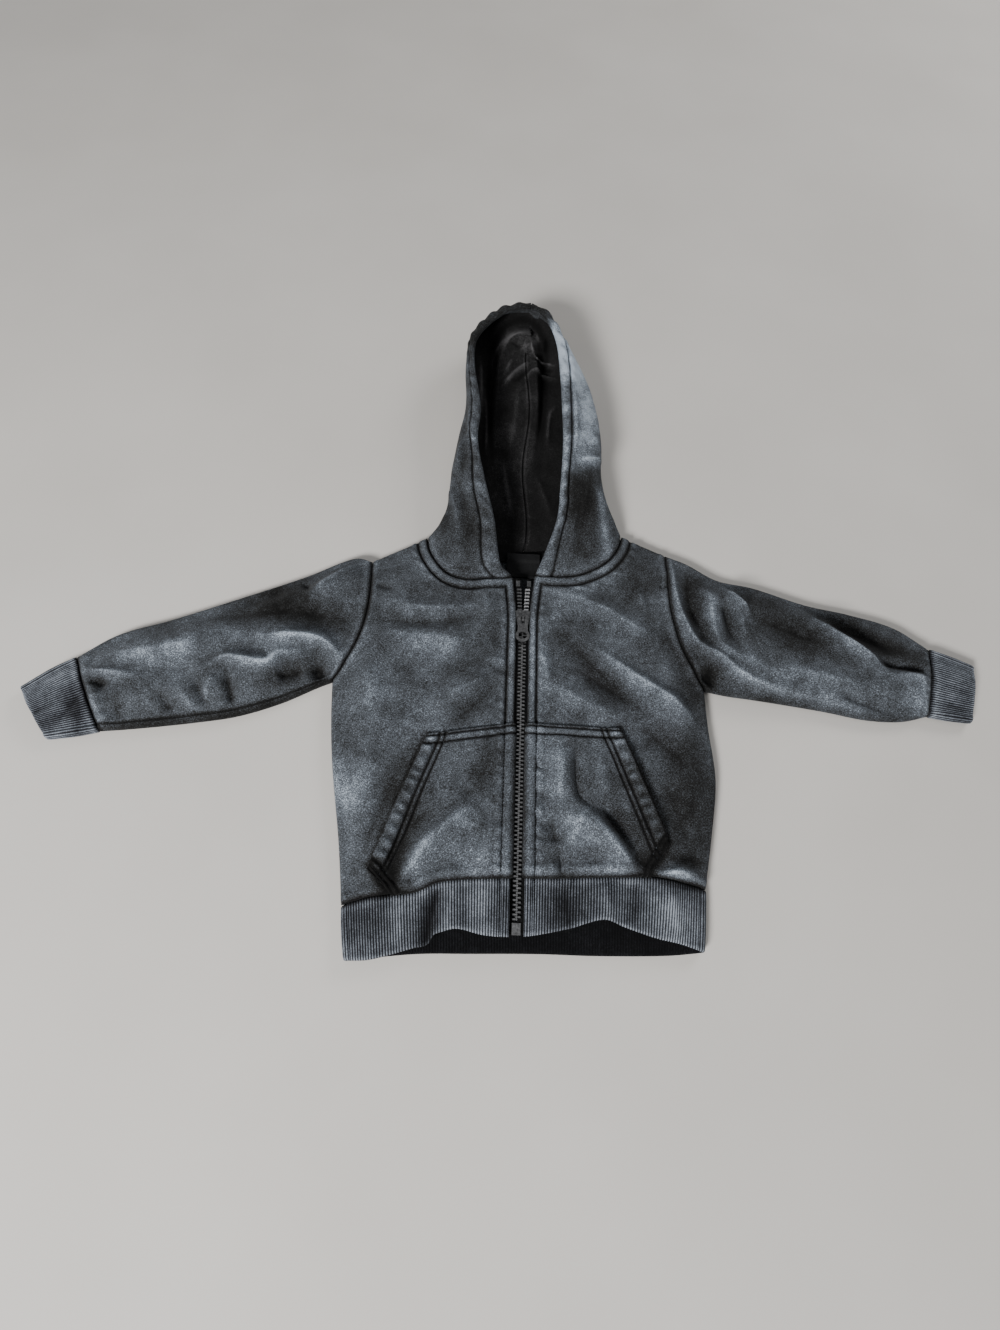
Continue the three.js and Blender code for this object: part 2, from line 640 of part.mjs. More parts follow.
function backGrid() {
  const { right, left } = HALVES;
  const cols = backColumns();
  const armRight = armStations(right);
  const armLeft = armStations(left);
  const tops = cols.map(backTop);
  const { sums, total } = lineOf(tops.map((point) => ({ point })));
  const shares = sums.map((sum) => sum / total);
  const rowCount = SIDE_ROWS + armRight.length;
  const rowEnd = (half, arm, i) => {
    if (i < SIDE_ROWS) return half.sideCurve.at((i / SIDE_ROWS) * half.sideCurve.length);
    const distance = arm[i - SIDE_ROWS];
    const along = half.armCurve.tangent(distance);
    return half.armCurve.at(distance).addScaledVector(awayFromBody(half, along), -HALF_GAP);
  };
  return Array.from({ length: rowCount }, (_, i) => {
    const low = i < SIDE_ROWS;
    const isTop = i === rowCount - 1;
    const a = rowEnd(right, armRight, i);
    const b = rowEnd(left, armLeft, i);
    const length = a.distanceTo(b);
    const fromTop = low ? FAR : right.armCurve.length - armRight[i - SIDE_ROWS];
    const fromPit = low ? 0 : armRight[i - SIDE_ROWS];
    const rise = low ? 0 : smooth(1 - fromTop / (right.armCurve.length * TOP_ROW_REACH));
    const pit = rolled(fromPit);
    const top = rolled(fromTop);
    return cols.map((col, j) => {
      const edge = Math.min(j, cols.length - 1 - j);
      const half = j < cols.length / 2 ? right : left;
      const fromSide = edge < ROLL.length ? rollDepth(ROLL[edge]) : FAR;
      const rolledShare = half === right ? fromSide / length : 1 - fromSide / length;
      const point = a.clone().lerp(b, fromSide < FAR ? rolledShare : shares[j]);
      const straightTop = right.shoulder.clone().lerp(left.shoulder, shares[j]);
      point.add(tops[j].clone().sub(straightTop).multiplyScalar(isTop ? 1 : rise));
      if (i === 0) {
        const inward = Math.min(Math.abs(point.x - a.x), Math.abs(b.x - point.x));
        point.y = THREE.MathUtils.lerp(point.y, BACK_HEM_SEAM_Y, smooth(inward / BACK_CORNER)) + HALF_GAP;
      }
      const side = rolled(fromSide);
      const fromNeckEnd = col.neck === undefined ? 0 : Math.min(col.neck, 1 - col.neck) * BACK_NECK_SPAN;
      const neckEnd = rolled(fromNeckEnd);
      point.z =
        FOLD_RADIUS * (1 - side.sine) * (1 - pit.sine) +
        FOLD_RADIUS * (1 - top.sine) * (1 - neckEnd.sine);
      point.z = Math.min(point.z, FOLD_RADIUS - HALF_GAP);
      if (isTop && fromNeckEnd > 0) point.y -= HALF_GAP;
      const sideOut = low ? new THREE.Vector3(half.sign, 0, 0) : half.pitOut.clone();
      const nearSide = side.cosine * pit.cosine;
      const nearTop = top.cosine * neckEnd.cosine;
      const out = sideOut
        .multiplyScalar(nearSide)
        .addScaledVector(half.shoulderOut, nearTop)
        .addScaledVector(DOWN, Math.sqrt(Math.max(0, 1 - nearSide ** 2 - nearTop ** 2)))
        .normalize();
      return { point, out };
    });
  });
}

// Sleeves are tubes; each section is a ring from the underarm edge over the top and back beneath
const SLEEVE_LOFT = [
  { at: 0, loft: BODY_LOFT },
  { at: 0.2, loft: 9 },
  { at: 0.5, loft: 10.5 },
  { at: 0.82, loft: 8.5 },
  { at: 0.94, loft: 7 },
  { at: 1, loft: 4 },
];
const sleeveLoft = column(SLEEVE_LOFT, "at", "loft");

function sleevePlace(half, s, station, layer) {
  const armLength = half.armCurve.length;
  const low = half.underCurve.at(s * half.underCurve.length);
  const high = half.topCurve.at(s * half.topCurve.length);
  const length = low.distanceTo(high);
  const distance = refit(station, armLength, length);
  const share = distance / length;
  const point = low.clone().lerp(high, share);
  const chord = half.pit.clone().lerp(half.shoulder, station / armLength);
  const bend = half.armCurve.at(station).sub(chord);
  point.addScaledVector(bend, 1 - smooth(s / SLEEVE_BEND));
  const under = rolled(distance);
  const over = rolled(length - distance);
  const window = smooth(distance / LOFT_REACH) * smooth((length - distance) / LOFT_REACH);
  const drop = FOLD_RADIUS * (1 - under.sine) + FOLD_RADIUS * (1 - over.sine);
  const fold = foldHeight(point.x, point.y) * smooth((1 - s) / SLEEVE_FOLD_END);
  point.z = layer > 0 ? FLAT_TOP - drop + window * (sleeveLoft(s) + fold) : drop;
  const early = smooth(s / SLEEVE_TURN);
  const edgeOut = (curve, seamOut, turn) => {
    const along = curve.tangent(s * curve.length);
    const square = new THREE.Vector3(-turn * along.y, turn * along.x, 0);
    return seamOut.clone().lerp(square, early).normalize();
  };
  const out = edgeOut(half.underCurve, half.pitOut, -half.sign)
    .multiplyScalar(under.cosine)
    .addScaledVector(edgeOut(half.topCurve, half.shoulderOut, half.sign), over.cosine);
  const flat = Math.sqrt(Math.max(0, 1 - under.cosine ** 2 - over.cosine ** 2));
  out.addScaledVector(layer > 0 ? UP : DOWN, flat).normalize();
  if (s === 0) {
    const along = half.armCurve.tangent(station);
    point.addScaledVector(awayFromBody(half, along), HALF_GAP);
  }
  return { point, out };
}

function sleeveGrid(half) {
  const stations = armStations(half);
  return SLEEVE_SECTIONS.map((s) => [
    ...stations.map((station) => sleevePlace(half, s, station, 1)),
    ...stations.slice(1, -1).reverse().map((station) => sleevePlace(half, s, station, -1)),
  ]);
}

// The running length at each place of a line of places
function lineOf(places) {
  const sums = [0];
  for (let i = 1; i < places.length; i += 1) {
    sums.push(sums[i - 1] + places[i].point.distanceTo(places[i - 1].point));
  }
  return { sums, total: sums[sums.length - 1] };
}

// Rib knit between a seam line and a free edge line with the same number of places: ribs stand out
// of the outer face only, and only within the stated stretches of the seam line
function ribbedPlace(seam, edge, sums, at, t) {
  let i = 0;
  while (i < sums.length - 2 && at > sums[i + 1]) i += 1;
  const u = clamp((at - sums[i]) / (sums[i + 1] - sums[i]), 0, 1);
  const along = (line, key) => line[i][key].clone().lerp(line[i + 1][key], u);
  return {
    point: along(seam, "point").lerp(along(edge, "point"), t),
    out: along(seam, "out").lerp(along(edge, "out"), t).normalize(),
  };
}

function ribbedGeometry(seam, edge, stretches, steps, ring) {
  const { sums } = lineOf(seam);
  const ribbed = (at) => stretches.some(({ from, to }) => at > from + 0.01 && at < to - 0.01);
  const outerAt = sums.filter((at) => !ribbed(at)).map((at) => ({ at, raise: 0 }));
  for (const { from, to } of stretches) {
    const points = 2 * Math.round((to - from) / RIB_PITCH);
    for (let i = 1; i < points; i += 1) {
      outerAt.push({ at: from + ((to - from) * i) / points, raise: i % 2 ? RIB_DEPTH : 0 });
    }
  }
  outerAt.sort((p, q) => p.at - q.at);
  const outer = [];
  const inner = [];
  for (let k = 0; k <= steps; k += 1) {
    const t = k / steps;
    const front = outerAt.map(({ at, raise }) => {
      const { point, out } = ribbedPlace(seam, edge, sums, at, t);
      return point.addScaledVector(out, raise);
    });
    const rear = sums.map((at) => {
      const { point, out } = ribbedPlace(seam, edge, sums, at, t);
      return point.addScaledVector(out, -RIBBING);
    });
    outer.push(ring ? front.slice(0, -1) : front);
    inner.push(ring ? rear.slice(0, -1) : rear);
  }
  const stations = { outer: outerAt.map(({ at }) => at), inner: sums };
  return shellGeometry(outer, inner, ring, stations);
}

// A distance across one width to the matching one across another, both with the same rolled edges
function refit(distance, from, to) {
  if (distance <= FOLD_RADIUS) return distance;
  if (distance >= from - FOLD_RADIUS) return to - (from - distance);
  const share = (distance - FOLD_RADIUS) / (from - 2 * FOLD_RADIUS);
  return FOLD_RADIUS + share * (to - 2 * FOLD_RADIUS);
}

// A cuff carries on from its sleeve's last ring and narrows to its opening
function cuffGeometry(half) {
  const grid = sleeveGrid(half);
  const last = grid[grid.length - 1];
  const stations = armStations(half).length;
  const low = half.underCurve.at(half.underCurve.length);
  const high = half.topCurve.at(half.topCurve.length);
  const across = high.clone().sub(low);
  const along = new THREE.Vector3(half.cuffEnd.top.x - high.x, half.cuffEnd.top.y - high.y, 0)
    .add(new THREE.Vector3(half.cuffEnd.under.x - low.x, half.cuffEnd.under.y - low.y, 0))
    .normalize();
  const endLow = new THREE.Vector3(half.cuffEnd.under.x, half.cuffEnd.under.y, 0);
  const endHigh = new THREE.Vector3(half.cuffEnd.top.x, half.cuffEnd.top.y, 0);
  const endLength = endLow.distanceTo(endHigh);
  const seamLength = across.length();
  const seam = last.map(({ point, out }) => ({
    point: point.clone().addScaledVector(along, SEAM_GAP),
    out,
  }));
  const edge = last.map(({ point, out }) => {
    const flat = point.clone().setZ(0).sub(low);
    const distance = flat.dot(across) / seamLength;
    const p = endLow.clone().lerp(endHigh, refit(distance, seamLength, endLength) / endLength);
    const flatTop = point.z > FLAT_TOP ? FLAT_TOP + (point.z - FLAT_TOP) * CUFF_LOFT : point.z;
    return { point: p.setZ(flatTop), out };
  });
  const closed = (line) => [...line, line[0]];
  const to = lineOf(closed(seam)).sums[stations - 1];
  return ribbedGeometry(closed(seam), closed(edge), [{ from: 0, to }], CUFF_STEPS, true);
}

// The hem band runs from one zip edge round the back to the other
function hemLines(fronts, back) {
  const seam = [];
  const edge = [];
  const front = (half, row) => {
    const inner = row[row.length - 1].point.x;
    const outer = row[0].point.x;
    return row.map(({ point, out }, j) => {
      const onRoll = j < ROLL.length;
      const share = (point.x - inner) / (outer - inner);
      const spread = THREE.MathUtils.lerp(half.sign * ZIP_EDGE, half.hemSide.x, share);
      const x = onRoll ? half.hemSide.x - half.sign * rollDepth(ROLL[j]) : spread;
      const z = onRoll ? FOLD_RADIUS + FOLD_RADIUS * Math.sin(ROLL[j]) : hemEdgeZ(x);
      return {
        top: { point: new THREE.Vector3(point.x, point.y - SEAM_GAP, point.z), out },
        low: { point: new THREE.Vector3(x, hemEdgeY(x), z), out },
      };
    });
  };
  const under = back.map(({ point, out }, j) => {
    const half = j < back.length / 2 ? HALVES.right : HALVES.left;
    const edgeIndex = Math.min(j, back.length - 1 - j);
    const onRoll = edgeIndex < ROLL.length;
    const share = (point.x - back[0].point.x) / (back[back.length - 1].point.x - back[0].point.x);
    const spread = THREE.MathUtils.lerp(HALVES.right.hemSide.x, HALVES.left.hemSide.x, share);
    const x = onRoll ? half.hemSide.x - half.sign * rollDepth(ROLL[edgeIndex]) : spread;
    const low = new THREE.Vector3(x, backHemY(x), point.z);
    return {
      top: { point: new THREE.Vector3(point.x, point.y - SEAM_GAP, point.z), out },
      low: { point: low, out },
    };
  });
  const rightFront = front(HALVES.right, fronts.right[0]).reverse();
  const leftFront = front(HALVES.left, fronts.left[0]);
  const join = [...rightFront, ...under.slice(1, -1), ...leftFront];
  for (const place of join) {
    seam.push(place.top);
    edge.push(place.low);
  }
  const { sums, total } = lineOf(seam);
  const stretches = [
    { from: 0, to: sums[rightFront.length - 1] },
    { from: sums[sums.length - leftFront.length], to: total },
  ];
  return { seam, edge, sums, stretches };
}

// A patch sewn on a panel: the panel's own facets inside a convex outline, moved out
function clipped(polygon, a, b) {
  const side = ({ point }) => (b.x - a.x) * (point.y - a.y) - (b.y - a.y) * (point.x - a.x);
  const kept = [];
  polygon.forEach((now, i) => {
    const next = polygon[(i + 1) % polygon.length];
    const sNow = side(now);
    const sNext = side(next);
    if (sNow >= 0) kept.push(now);
    if (sNow >= 0 !== sNext >= 0) {
      const [inside, outside] = sNow >= 0 ? [now, next] : [next, now];
      const t = side(inside) / (side(inside) - side(outside));
      kept.push({
        point: inside.point.clone().lerp(outside.point, t),
        out: inside.out.clone().lerp(outside.out, t).normalize(),
      });
    }
  });
  return kept;
}

function patchGeometry(grid, outline, near, far) {
  const turn = outline.reduce((sum, p, i) => {
    const q = outline[(i + 1) % outline.length];
    return sum + p.x * q.y - q.x * p.y;
  }, 0);
  const loop = turn > 0 ? outline : [...outline].reverse();
  const seen = new Map();
  const places = [];
  const number = (place) => {
    const key = `${Math.round(place.point.x * 1e3)},${Math.round(place.point.y * 1e3)}`;
    if (!seen.has(key)) {
      seen.set(key, places.length);
      places.push(place);
    }
    return seen.get(key);
  };
  const faces = [];
  const facet = (corners) => {
    let polygon = corners;
    loop.forEach((a, i) => {
      if (polygon.length > 2) polygon = clipped(polygon, a, loop[(i + 1) % loop.length]);
    });
    const ids = polygon.map(number).filter((id, i, all) => id !== all[(i + 1) % all.length]);
    for (let i = 1; i + 1 < ids.length; i += 1) faces.push([ids[0], ids[i], ids[i + 1]]);
  };
  for (let i = 0; i + 1 < grid.length; i += 1) {
    for (let j = 0; j + 1 < grid[i].length; j += 1) {
      facet([grid[i][j], grid[i][j + 1], grid[i + 1][j + 1]]);
      facet([grid[i][j], grid[i + 1][j + 1], grid[i + 1][j]]);
    }
  }
  const count = places.length;
  const level = (depth) => places.map(({ point, out }) => point.clone().addScaledVector(out, depth));
  const all = [...level(far), ...level(near)];
  const rims = new Map();
  for (const face of faces) {
    face.forEach((a, i) => {
      const b = face[(i + 1) % 3];
      if (!rims.delete(`${b}-${a}`)) rims.set(`${a}-${b}`, [a, b]);
    });
  }
  const solid = [];
  for (const [a, b, c] of faces) solid.push([a, b, c], [a + count, c + count, b + count]);
  for (const [a, b] of rims.values()) solid.push([b, a, a + count], [b, a + count, b + count]);
  return facesGeometry(all, solid);
}

// A zip tape lies under its front and its end of the hem band, from the hem's edge to the neck
function tapeEdgeX(y) {
  if (y < STOP_TO_Y + STOP_CLEAR) return STOP_HALF + STOP_CLEAR;
  return TAPE_SPREADS.reduce((x, { from, over, by }) => x + by * smooth((y - from) / over), TAPE_HALF);
}

function tapeGeometry(half, grid, hemBand) {
  const last = hemBand.seam.length - 1;
  const ends = half.sign < 0 ? [0, 1] : [last, last - 1];
  const lines = [];
  for (let k = HEM_STEPS; k >= 0; k -= 1) {
    const [outer, inner] = ends.map((i) => {
      const { seam, edge, sums } = hemBand;
      const { point, out } = ribbedPlace(seam, edge, sums, sums[i], k / HEM_STEPS);
      return point.addScaledVector(out, -RIBBING - SEAM_GAP);
    });
    lines.push({ edge: outer, inner });
  }
  const corner = SIDE_ROWS + armStations(half).length - neckStations(half).length;
  for (const row of grid.slice(1, corner + 1)) {
    const [inner, edge] = row.slice(-2).map(({ point, out }) => {
      return point.clone().addScaledVector(out, -FLEECE - SEAM_GAP);
    });
    lines.push({ edge, inner });
  }
  const levels = lines.map(({ edge }) => edge.y);
  const extra = [...TAPE_EXTRA_Y, STOP_TO_Y + STOP_CLEAR / 2, STOP_TO_Y + STOP_CLEAR];
  const stations = [...levels, ...extra].sort((a, b) => a - b);
  const rows = stations.map((y) => {
    let i = 0;
    while (i < levels.length - 2 && y > levels[i + 1]) i += 1;
    const t = (y - levels[i]) / (levels[i + 1] - levels[i]);
    const inner = lines[i].inner.clone().lerp(lines[i + 1].inner, t);
    const edge = lines[i].edge.clone().lerp(lines[i + 1].edge, t);
    const middle = new THREE.Vector3(half.sign * tapeEdgeX(y), edge.y, edge.z);
    return [inner, edge, middle];
  });
  const under = rows.map((row) => row.map((point) => point.clone().addScaledVector(UP, -TAPE_THICK)));
  return shellGeometry(rows, under);
}

// Zip hardware
function shapeOf(points) {
  return new THREE.Shape(points.map(({ x, y }) => new THREE.Vector2(x, y)));
}

function slab(shape, from, to) {
  const options = { depth: to - from, bevelEnabled: false, curveSegments: 8 };
  return new THREE.ExtrudeGeometry(shape, options).translate(0, 0, from);
}

function block(x0, x1, y0, y1, z0, z1) {
  const geometry = new THREE.BoxGeometry(x1 - x0, y1 - y0, z1 - z0);
  return geometry.translate((x0 + x1) / 2, (y0 + y1) / 2, (z0 + z1) / 2);
}

const wasm = await Module();
wasm.setup();

function solidOf(geometry) {
  const bare = new THREE.BufferGeometry();
  bare.setAttribute("position", geometry.getAttribute("position"));
  if (geometry.index) bare.setIndex(geometry.index);
  const joined = mergeVertices(bare, 1e-4);
  return new wasm.Manifold(
    new wasm.Mesh({
      numProp: 3,
      vertProperties: new Float32Array(joined.getAttribute("position").array),
      triVerts: new Uint32Array(joined.index.array),
    }),
  );
}

function geometryOf(solid) {
  const mesh = solid.getMesh();
  const geometry = new THREE.BufferGeometry();
  geometry.setAttribute("position", new THREE.BufferAttribute(new Float32Array(mesh.vertProperties), 3));
  geometry.setIndex([...mesh.triVerts]);
  return geometry;
}

function sliderGeometry() {
  const mirrored = SLIDER_OUTLINE.map(({ x, y }) => ({ x: -x, y })).reverse();
  const plate = shapeOf([...SLIDER_OUTLINE, ...mirrored]);
  const inset = SLIDER_OUTLINE.map(({ x, y }) => ({ x: x - FLANGE.width, y })).reverse();
  const rims = [1, -1].map((side) =>
    shapeOf([...SLIDER_OUTLINE, ...inset].map(({ x, y }) => ({ x: side * x, y }))),
  );
  const bridge = new THREE.Shape(
    [
      [BRIDGE.from, SLIDER_Z.roofTop - FLANGE.depth],
      [BRIDGE.from, SLIDER_Z.bridge],
      [BRIDGE.from + BRIDGE.leg, SLIDER_Z.bridgeTop],
      [BRIDGE.to - BRIDGE.leg, SLIDER_Z.bridgeTop],
      [BRIDGE.to, SLIDER_Z.bridge],
      [BRIDGE.to, SLIDER_Z.roofTop - FLANGE.depth],
      [BRIDGE.to - BRIDGE.leg, SLIDER_Z.roofTop - FLANGE.depth],
      [BRIDGE.to - BRIDGE.leg, SLIDER_Z.bridge],
      [BRIDGE.from + BRIDGE.leg, SLIDER_Z.bridge],
      [BRIDGE.from + BRIDGE.leg, SLIDER_Z.roofTop - FLANGE.depth],
    ].map(([y, z]) => new THREE.Vector2(y, z)),
  );
  const arch = slab(bridge, -BRIDGE.half, BRIDGE.half).applyMatrix4(
    new THREE.Matrix4().makeBasis(
      new THREE.Vector3(0, 1, 0),
      new THREE.Vector3(0, 0, 1),
      new THREE.Vector3(1, 0, 0),
    ),
  );
  const parts = [
    slab(plate, SLIDER_Z.under, SLIDER_Z.underTop),
    slab(plate, SLIDER_Z.roof, SLIDER_Z.roofTop),
    ...rims.map((rim) => slab(rim, SLIDER_Z.roof - FLANGE.depth, SLIDER_Z.roof + FLANGE.depth / 2)),
    block(-POST.half, POST.half, POST.from, POST.to, SLIDER_Z.under, SLIDER_Z.roofTop),
    arch,
  ];
  return geometryOf(parts.map(solidOf).reduce((whole, part) => whole.add(part)));
}

function tabGeometry() {
  const { y, radius, hole } = TAB_RING;
  const shape = new THREE.Shape();
  shape.moveTo(-TAB.half, TAB.top);
  shape.lineTo(-TAB.waist, y + radius + 2);
  shape.lineTo(-TAB.half, y + radius - 1.6);
  shape.absarc(0, y, radius, Math.PI * 0.76, Math.PI * 2.24, false);
  shape.lineTo(TAB.waist, y + radius + 2);
  shape.lineTo(TAB.half, TAB.top);
  shape.closePath();
  const slot = shapeOf([
    { x: -TAB.slot, y: TAB.slotFrom },
    { x: TAB.slot, y: TAB.slotFrom },
    { x: TAB.slot, y: TAB.slotTo },
    { x: -TAB.slot, y: TAB.slotTo },
  ]);
  const eye = new THREE.Path();
  eye.absarc(0, y, hole, 0, Math.PI * 2, true);
  shape.holes.push(slot, eye);
  return slab(shape, TAB_Z.under, TAB_Z.top);
}

// The neck tape and label lie on the inside of the back, below the neck seam
function neckTapeGeometry() {
  const z = FLEECE + SEAM_GAP;
  const rows = Array.from({ length: NECK_TAPE.steps + 1 }, (_, i) => {
    const share = THREE.MathUtils.lerp(NECK_TAPE.from, NECK_TAPE.to, i / NECK_TAPE.steps);
    const { x, y } = backNeck(share);
    return [y - SEAM_GAP, y - NECK_TAPE.wide].map((v) => new THREE.Vector3(x, v, z + NECK_TAPE.thick));
  });
  const under = rows.map((row) => row.map((p) => p.clone().setZ(z)));
  return shellGeometry(rows, under);
}

function labelGeometry() {
  const top = backNeck(0.5).y - LABEL.hang;
  const onTape = FLEECE + SEAM_GAP + NECK_TAPE.thick + SEAM_GAP;
  const onBack = FLEECE + SEAM_GAP;
  const profile = [
    { y: top, z: onTape },
    { y: top - NECK_TAPE.wide + LABEL.hang - 0.6, z: onTape },
    { y: top - NECK_TAPE.wide - 1.4, z: onBack + 0.3 },
    { y: top - LABEL.drop, z: onBack },
  ];
  const under = profile.map(({ y, z }) => [-LABEL.half, LABEL.half].map((x) => new THREE.Vector3(x, y, z)));
  const rows = under.map((row) => row.map((p) => p.clone().addScaledVector(UP, LABEL.thick)));
  return shellGeometry(rows, under);
}

// The hood: rows from the face opening over the side, down to the surface and in to the back seam
function hoodPlaces(name) {
  const half = HALVES[name];
  const read = Object.fromEntries(
    ["openX", "openY", "openZ", "wideX", "wideY", "wideZ", "backY"].map((key) => [
      key,
      column(HOOD[name], "at", key),
    ]),
  );
  const neck = neckStations(half);
  const backShares = backNeckShares();
  const upper = neck.length - 1;
  const lower = backShares.length - 1;
  const general = (s, j) => {
    const open = new THREE.Vector3(read.openX(s), read.openY(s), 0);
    const wide = new THREE.Vector3(read.wideX(s), read.wideY(s), 0);
    const back = new THREE.Vector3(0, read.backY(s), 0);
    const openZ = read.openZ(s);
    const wideZ = read.wideZ(s);
    if (j <= upper) {
      const angle = (Math.PI / 2) * (j / upper);
      const p = open.clone().lerp(wide, Math.sin(angle));
      return p.setZ(wideZ + (openZ - wideZ) * Math.cos(angle));
    }
    const inward = back.clone().sub(wide);
    const reach = Math.min(wideZ, inward.length() / 2);
    const foot = wide.clone().addScaledVector(inward.clone().normalize(), reach);
    const k = j - upper;
    if (k <= HOOD_TURN_STEPS) {
      const angle = (Math.PI / 2) * (k / HOOD_TURN_STEPS);
      const p = wide.clone().lerp(foot, 1 - Math.cos(angle));
      return p.setZ(wideZ * (1 - Math.sin(angle)));
    }
    return foot.clone().lerp(back, (k - HOOD_TURN_STEPS) / (lower - HOOD_TURN_STEPS));
  };
  const frontRow = frontRows(half);
  const first = frontRow.length - neck.length;
  const neckRow = (j) => {
    if (j <= upper) {
      const row = frontRow[first + j];
      const place = frontPlace(half, row, row.a.distanceTo(row.b));
      const p = half.neckCurve.at(neck[j]);
      const way = half.neckCurve.tangent(neck[j]);
      p.addScaledVector(awayFromBody(half, way), -HALF_GAP);
      return p.setZ(j === upper ? FOLD_RADIUS : place.point.z);
    }
    const share = backShares[j - upper];
    const p = backNeck(half.sign < 0 ? share : 1 - share);
    const turn = rolled(share * BACK_NECK_SPAN);
    return new THREE.Vector3(p.x, p.y + HALF_GAP, FOLD_RADIUS * (1 - turn.sine));
  };
  const offsets = Array.from({ length: upper + lower + 1 }, (_, j) => neckRow(j).sub(general(0, j)));
  const pointAt = (s, j) => {
    const p = general(s, j).addScaledVector(offsets[j], 1 - smooth(s / NECK_BLEND));
    const seamSide = j === upper + lower || s === 1;
    if (seamSide) p.x = half.sign * HALF_GAP;
    p.z = Math.max(p.z, 0);
    return p;
  };
  return { half, pointAt, upper, lower, count: upper + lower + 1 };
}

// At the neck seam the hood's wall doesn't thicken into the body's
function keepOffBody(half, j, upper, out) {
  const way = half.neckCurve.tangent(neckStations(half)[Math.min(j, upper)]);
  const body = j < upper ? awayFromBody(half, way) : new THREE.Vector3(0, -1, 0);
  const toward = out.dot(body);
  if (toward < 0) out.addScaledVector(body, -toward).normalize();
}

function hoodGrid(name) {
  const { half, pointAt, count, upper } = hoodPlaces(name);
  const points = HOOD_SECTIONS.map((s) => Array.from({ length: count }, (_, j) => pointAt(s, j)));
  const last = points.length - 1;
  return points.map((row, i) =>
    row.map((point, j) => {
      const a = points[Math.max(i - 1, 0)][j];
      const b = points[Math.min(i + 1, last)][j];
      const c = row[Math.max(j - 1, 0)];
      const d = row[Math.min(j + 1, count - 1)];
      const out = new THREE.Vector3().crossVectors(b.clone().sub(a), d.clone().sub(c));
      out.multiplyScalar(-half.sign).normalize();
      if (j === count - 1 || i === last) out.setX(0).normalize();
      if (point.z < 0.01 && j > upper) out.set(0, 0, -1);
      if (i === 0) keepOffBody(half, j, upper, out);
      return { point, out };
    }),
  );
}

function hoodShellGeometry(grid) {
  const outer = grid.map((row) => row.map((place) => place.point));
  const inner = grid.map((row) =>
    row.map(({ point, out }, j) => {
      return point.clone().addScaledVector(out, j <= CASING_COLUMNS ? -CASING : -FLEECE);
    }),
  );
  return shellGeometry(outer, inner);
}

// The lining follows the shell and crumples up off the surface towards the crown
function liningLift(i, j, count) {
  const s = HOOD_SECTIONS[i];
  const across = (count - 1 - j) / CRUMPLE.columns;
  const middle = Math.max(0, 1 - across * across);
  const crown = 1 - CROWN_LOSS.share * smooth((s - CROWN_LOSS.from) / CROWN_LOSS.over);
  return CRUMPLE.high * middle * smooth((s - CRUMPLE.from) / CRUMPLE.over) * crown;
}

function liningGeometry(grid) {
  const count = grid[0].length;
  const first = CASING_COLUMNS + 1;
  const rows = grid.map((row, i) =>
    row.slice(first).map((place, k) => {
      const depth = FLEECE + SEAM_GAP + liningLift(i, k + first, count);
      return { point: place.point.clone().addScaledVector(place.out, -depth), out: place.out };
    }),
  );
  return wallGeometry(rows, JERSEY);
}

const fronts = { right: frontGrid(HALVES.right), left: frontGrid(HALVES.left) };
const back = backGrid();
const hoods = { right: hoodGrid("right"), left: hoodGrid("left") };

add("back", wallGeometry(back, FLEECE), material.fleece);
for (const name of ["right", "left"]) {
  const half = HALVES[name];
  add(`front_${name}`, wallGeometry(fronts[name], FLEECE), material.fleece);
  add(`sleeve_${name}`, wallGeometry(sleeveGrid(half), FLEECE, true), material.fleece);
  add(`cuff_${name}`, cuffGeometry(half), material.ribbing);
  add(`hood_${name}`, hoodShellGeometry(hoods[name]), material.fleece);
  add(`hood_lining_${name}`, liningGeometry(hoods[name]), material.jersey);
}
const hem = hemLines(fronts, back[0]);
add("hem_band", ribbedGeometry(hem.seam, hem.edge, hem.stretches, HEM_STEPS, false), material.ribbing);
for (const name of ["right", "left"]) {
  const half = HALVES[name];
  const pocket = patchGeometry(fronts[name], POCKETS[name], SEAM_GAP, SEAM_GAP + FLEECE);
  add(`pocket_${name}`, pocket, material.fleece);
  add(`zip_tape_${name}`, tapeGeometry(half, fronts[name], hem), material.tape);
  const x = half.sign * (tapeEdgeX(TOP_STOP.y) + TOP_STOP.width / 2);
  const stop = block(
    x - TOP_STOP.width / 2,
    x + TOP_STOP.width / 2,
    TOP_STOP.y - TOP_STOP.long / 2,
    TOP_STOP.y + TOP_STOP.long / 2,
    TOP_STOP_Z,
    TOP_STOP_Z + TOP_STOP.high,
  );
  add(`zip_top_stop_${name}`, stop, material.metal);
}
const boxZ = hemEdgeZ(0) - RIBBING - SEAM_GAP - TAPE_THICK / 2;
add(
  "zip_bottom_stop",
  block(-STOP_HALF, STOP_HALF, STOP_FROM_Y, STOP_TO_Y, boxZ - BOX_HEIGHT / 2, boxZ + BOX_HEIGHT / 2),
  material.metal,
);
add("zip_slider", sliderGeometry(), material.metal);
add("zip_pull_tab", tabGeometry(), material.metal);
add("neck_tape", neckTapeGeometry(), material.tape);
add("neck_label", labelGeometry(), material.tape);

export default hoodie;
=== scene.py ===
import math

import bpy
import numpy as np
from mathutils import Matrix


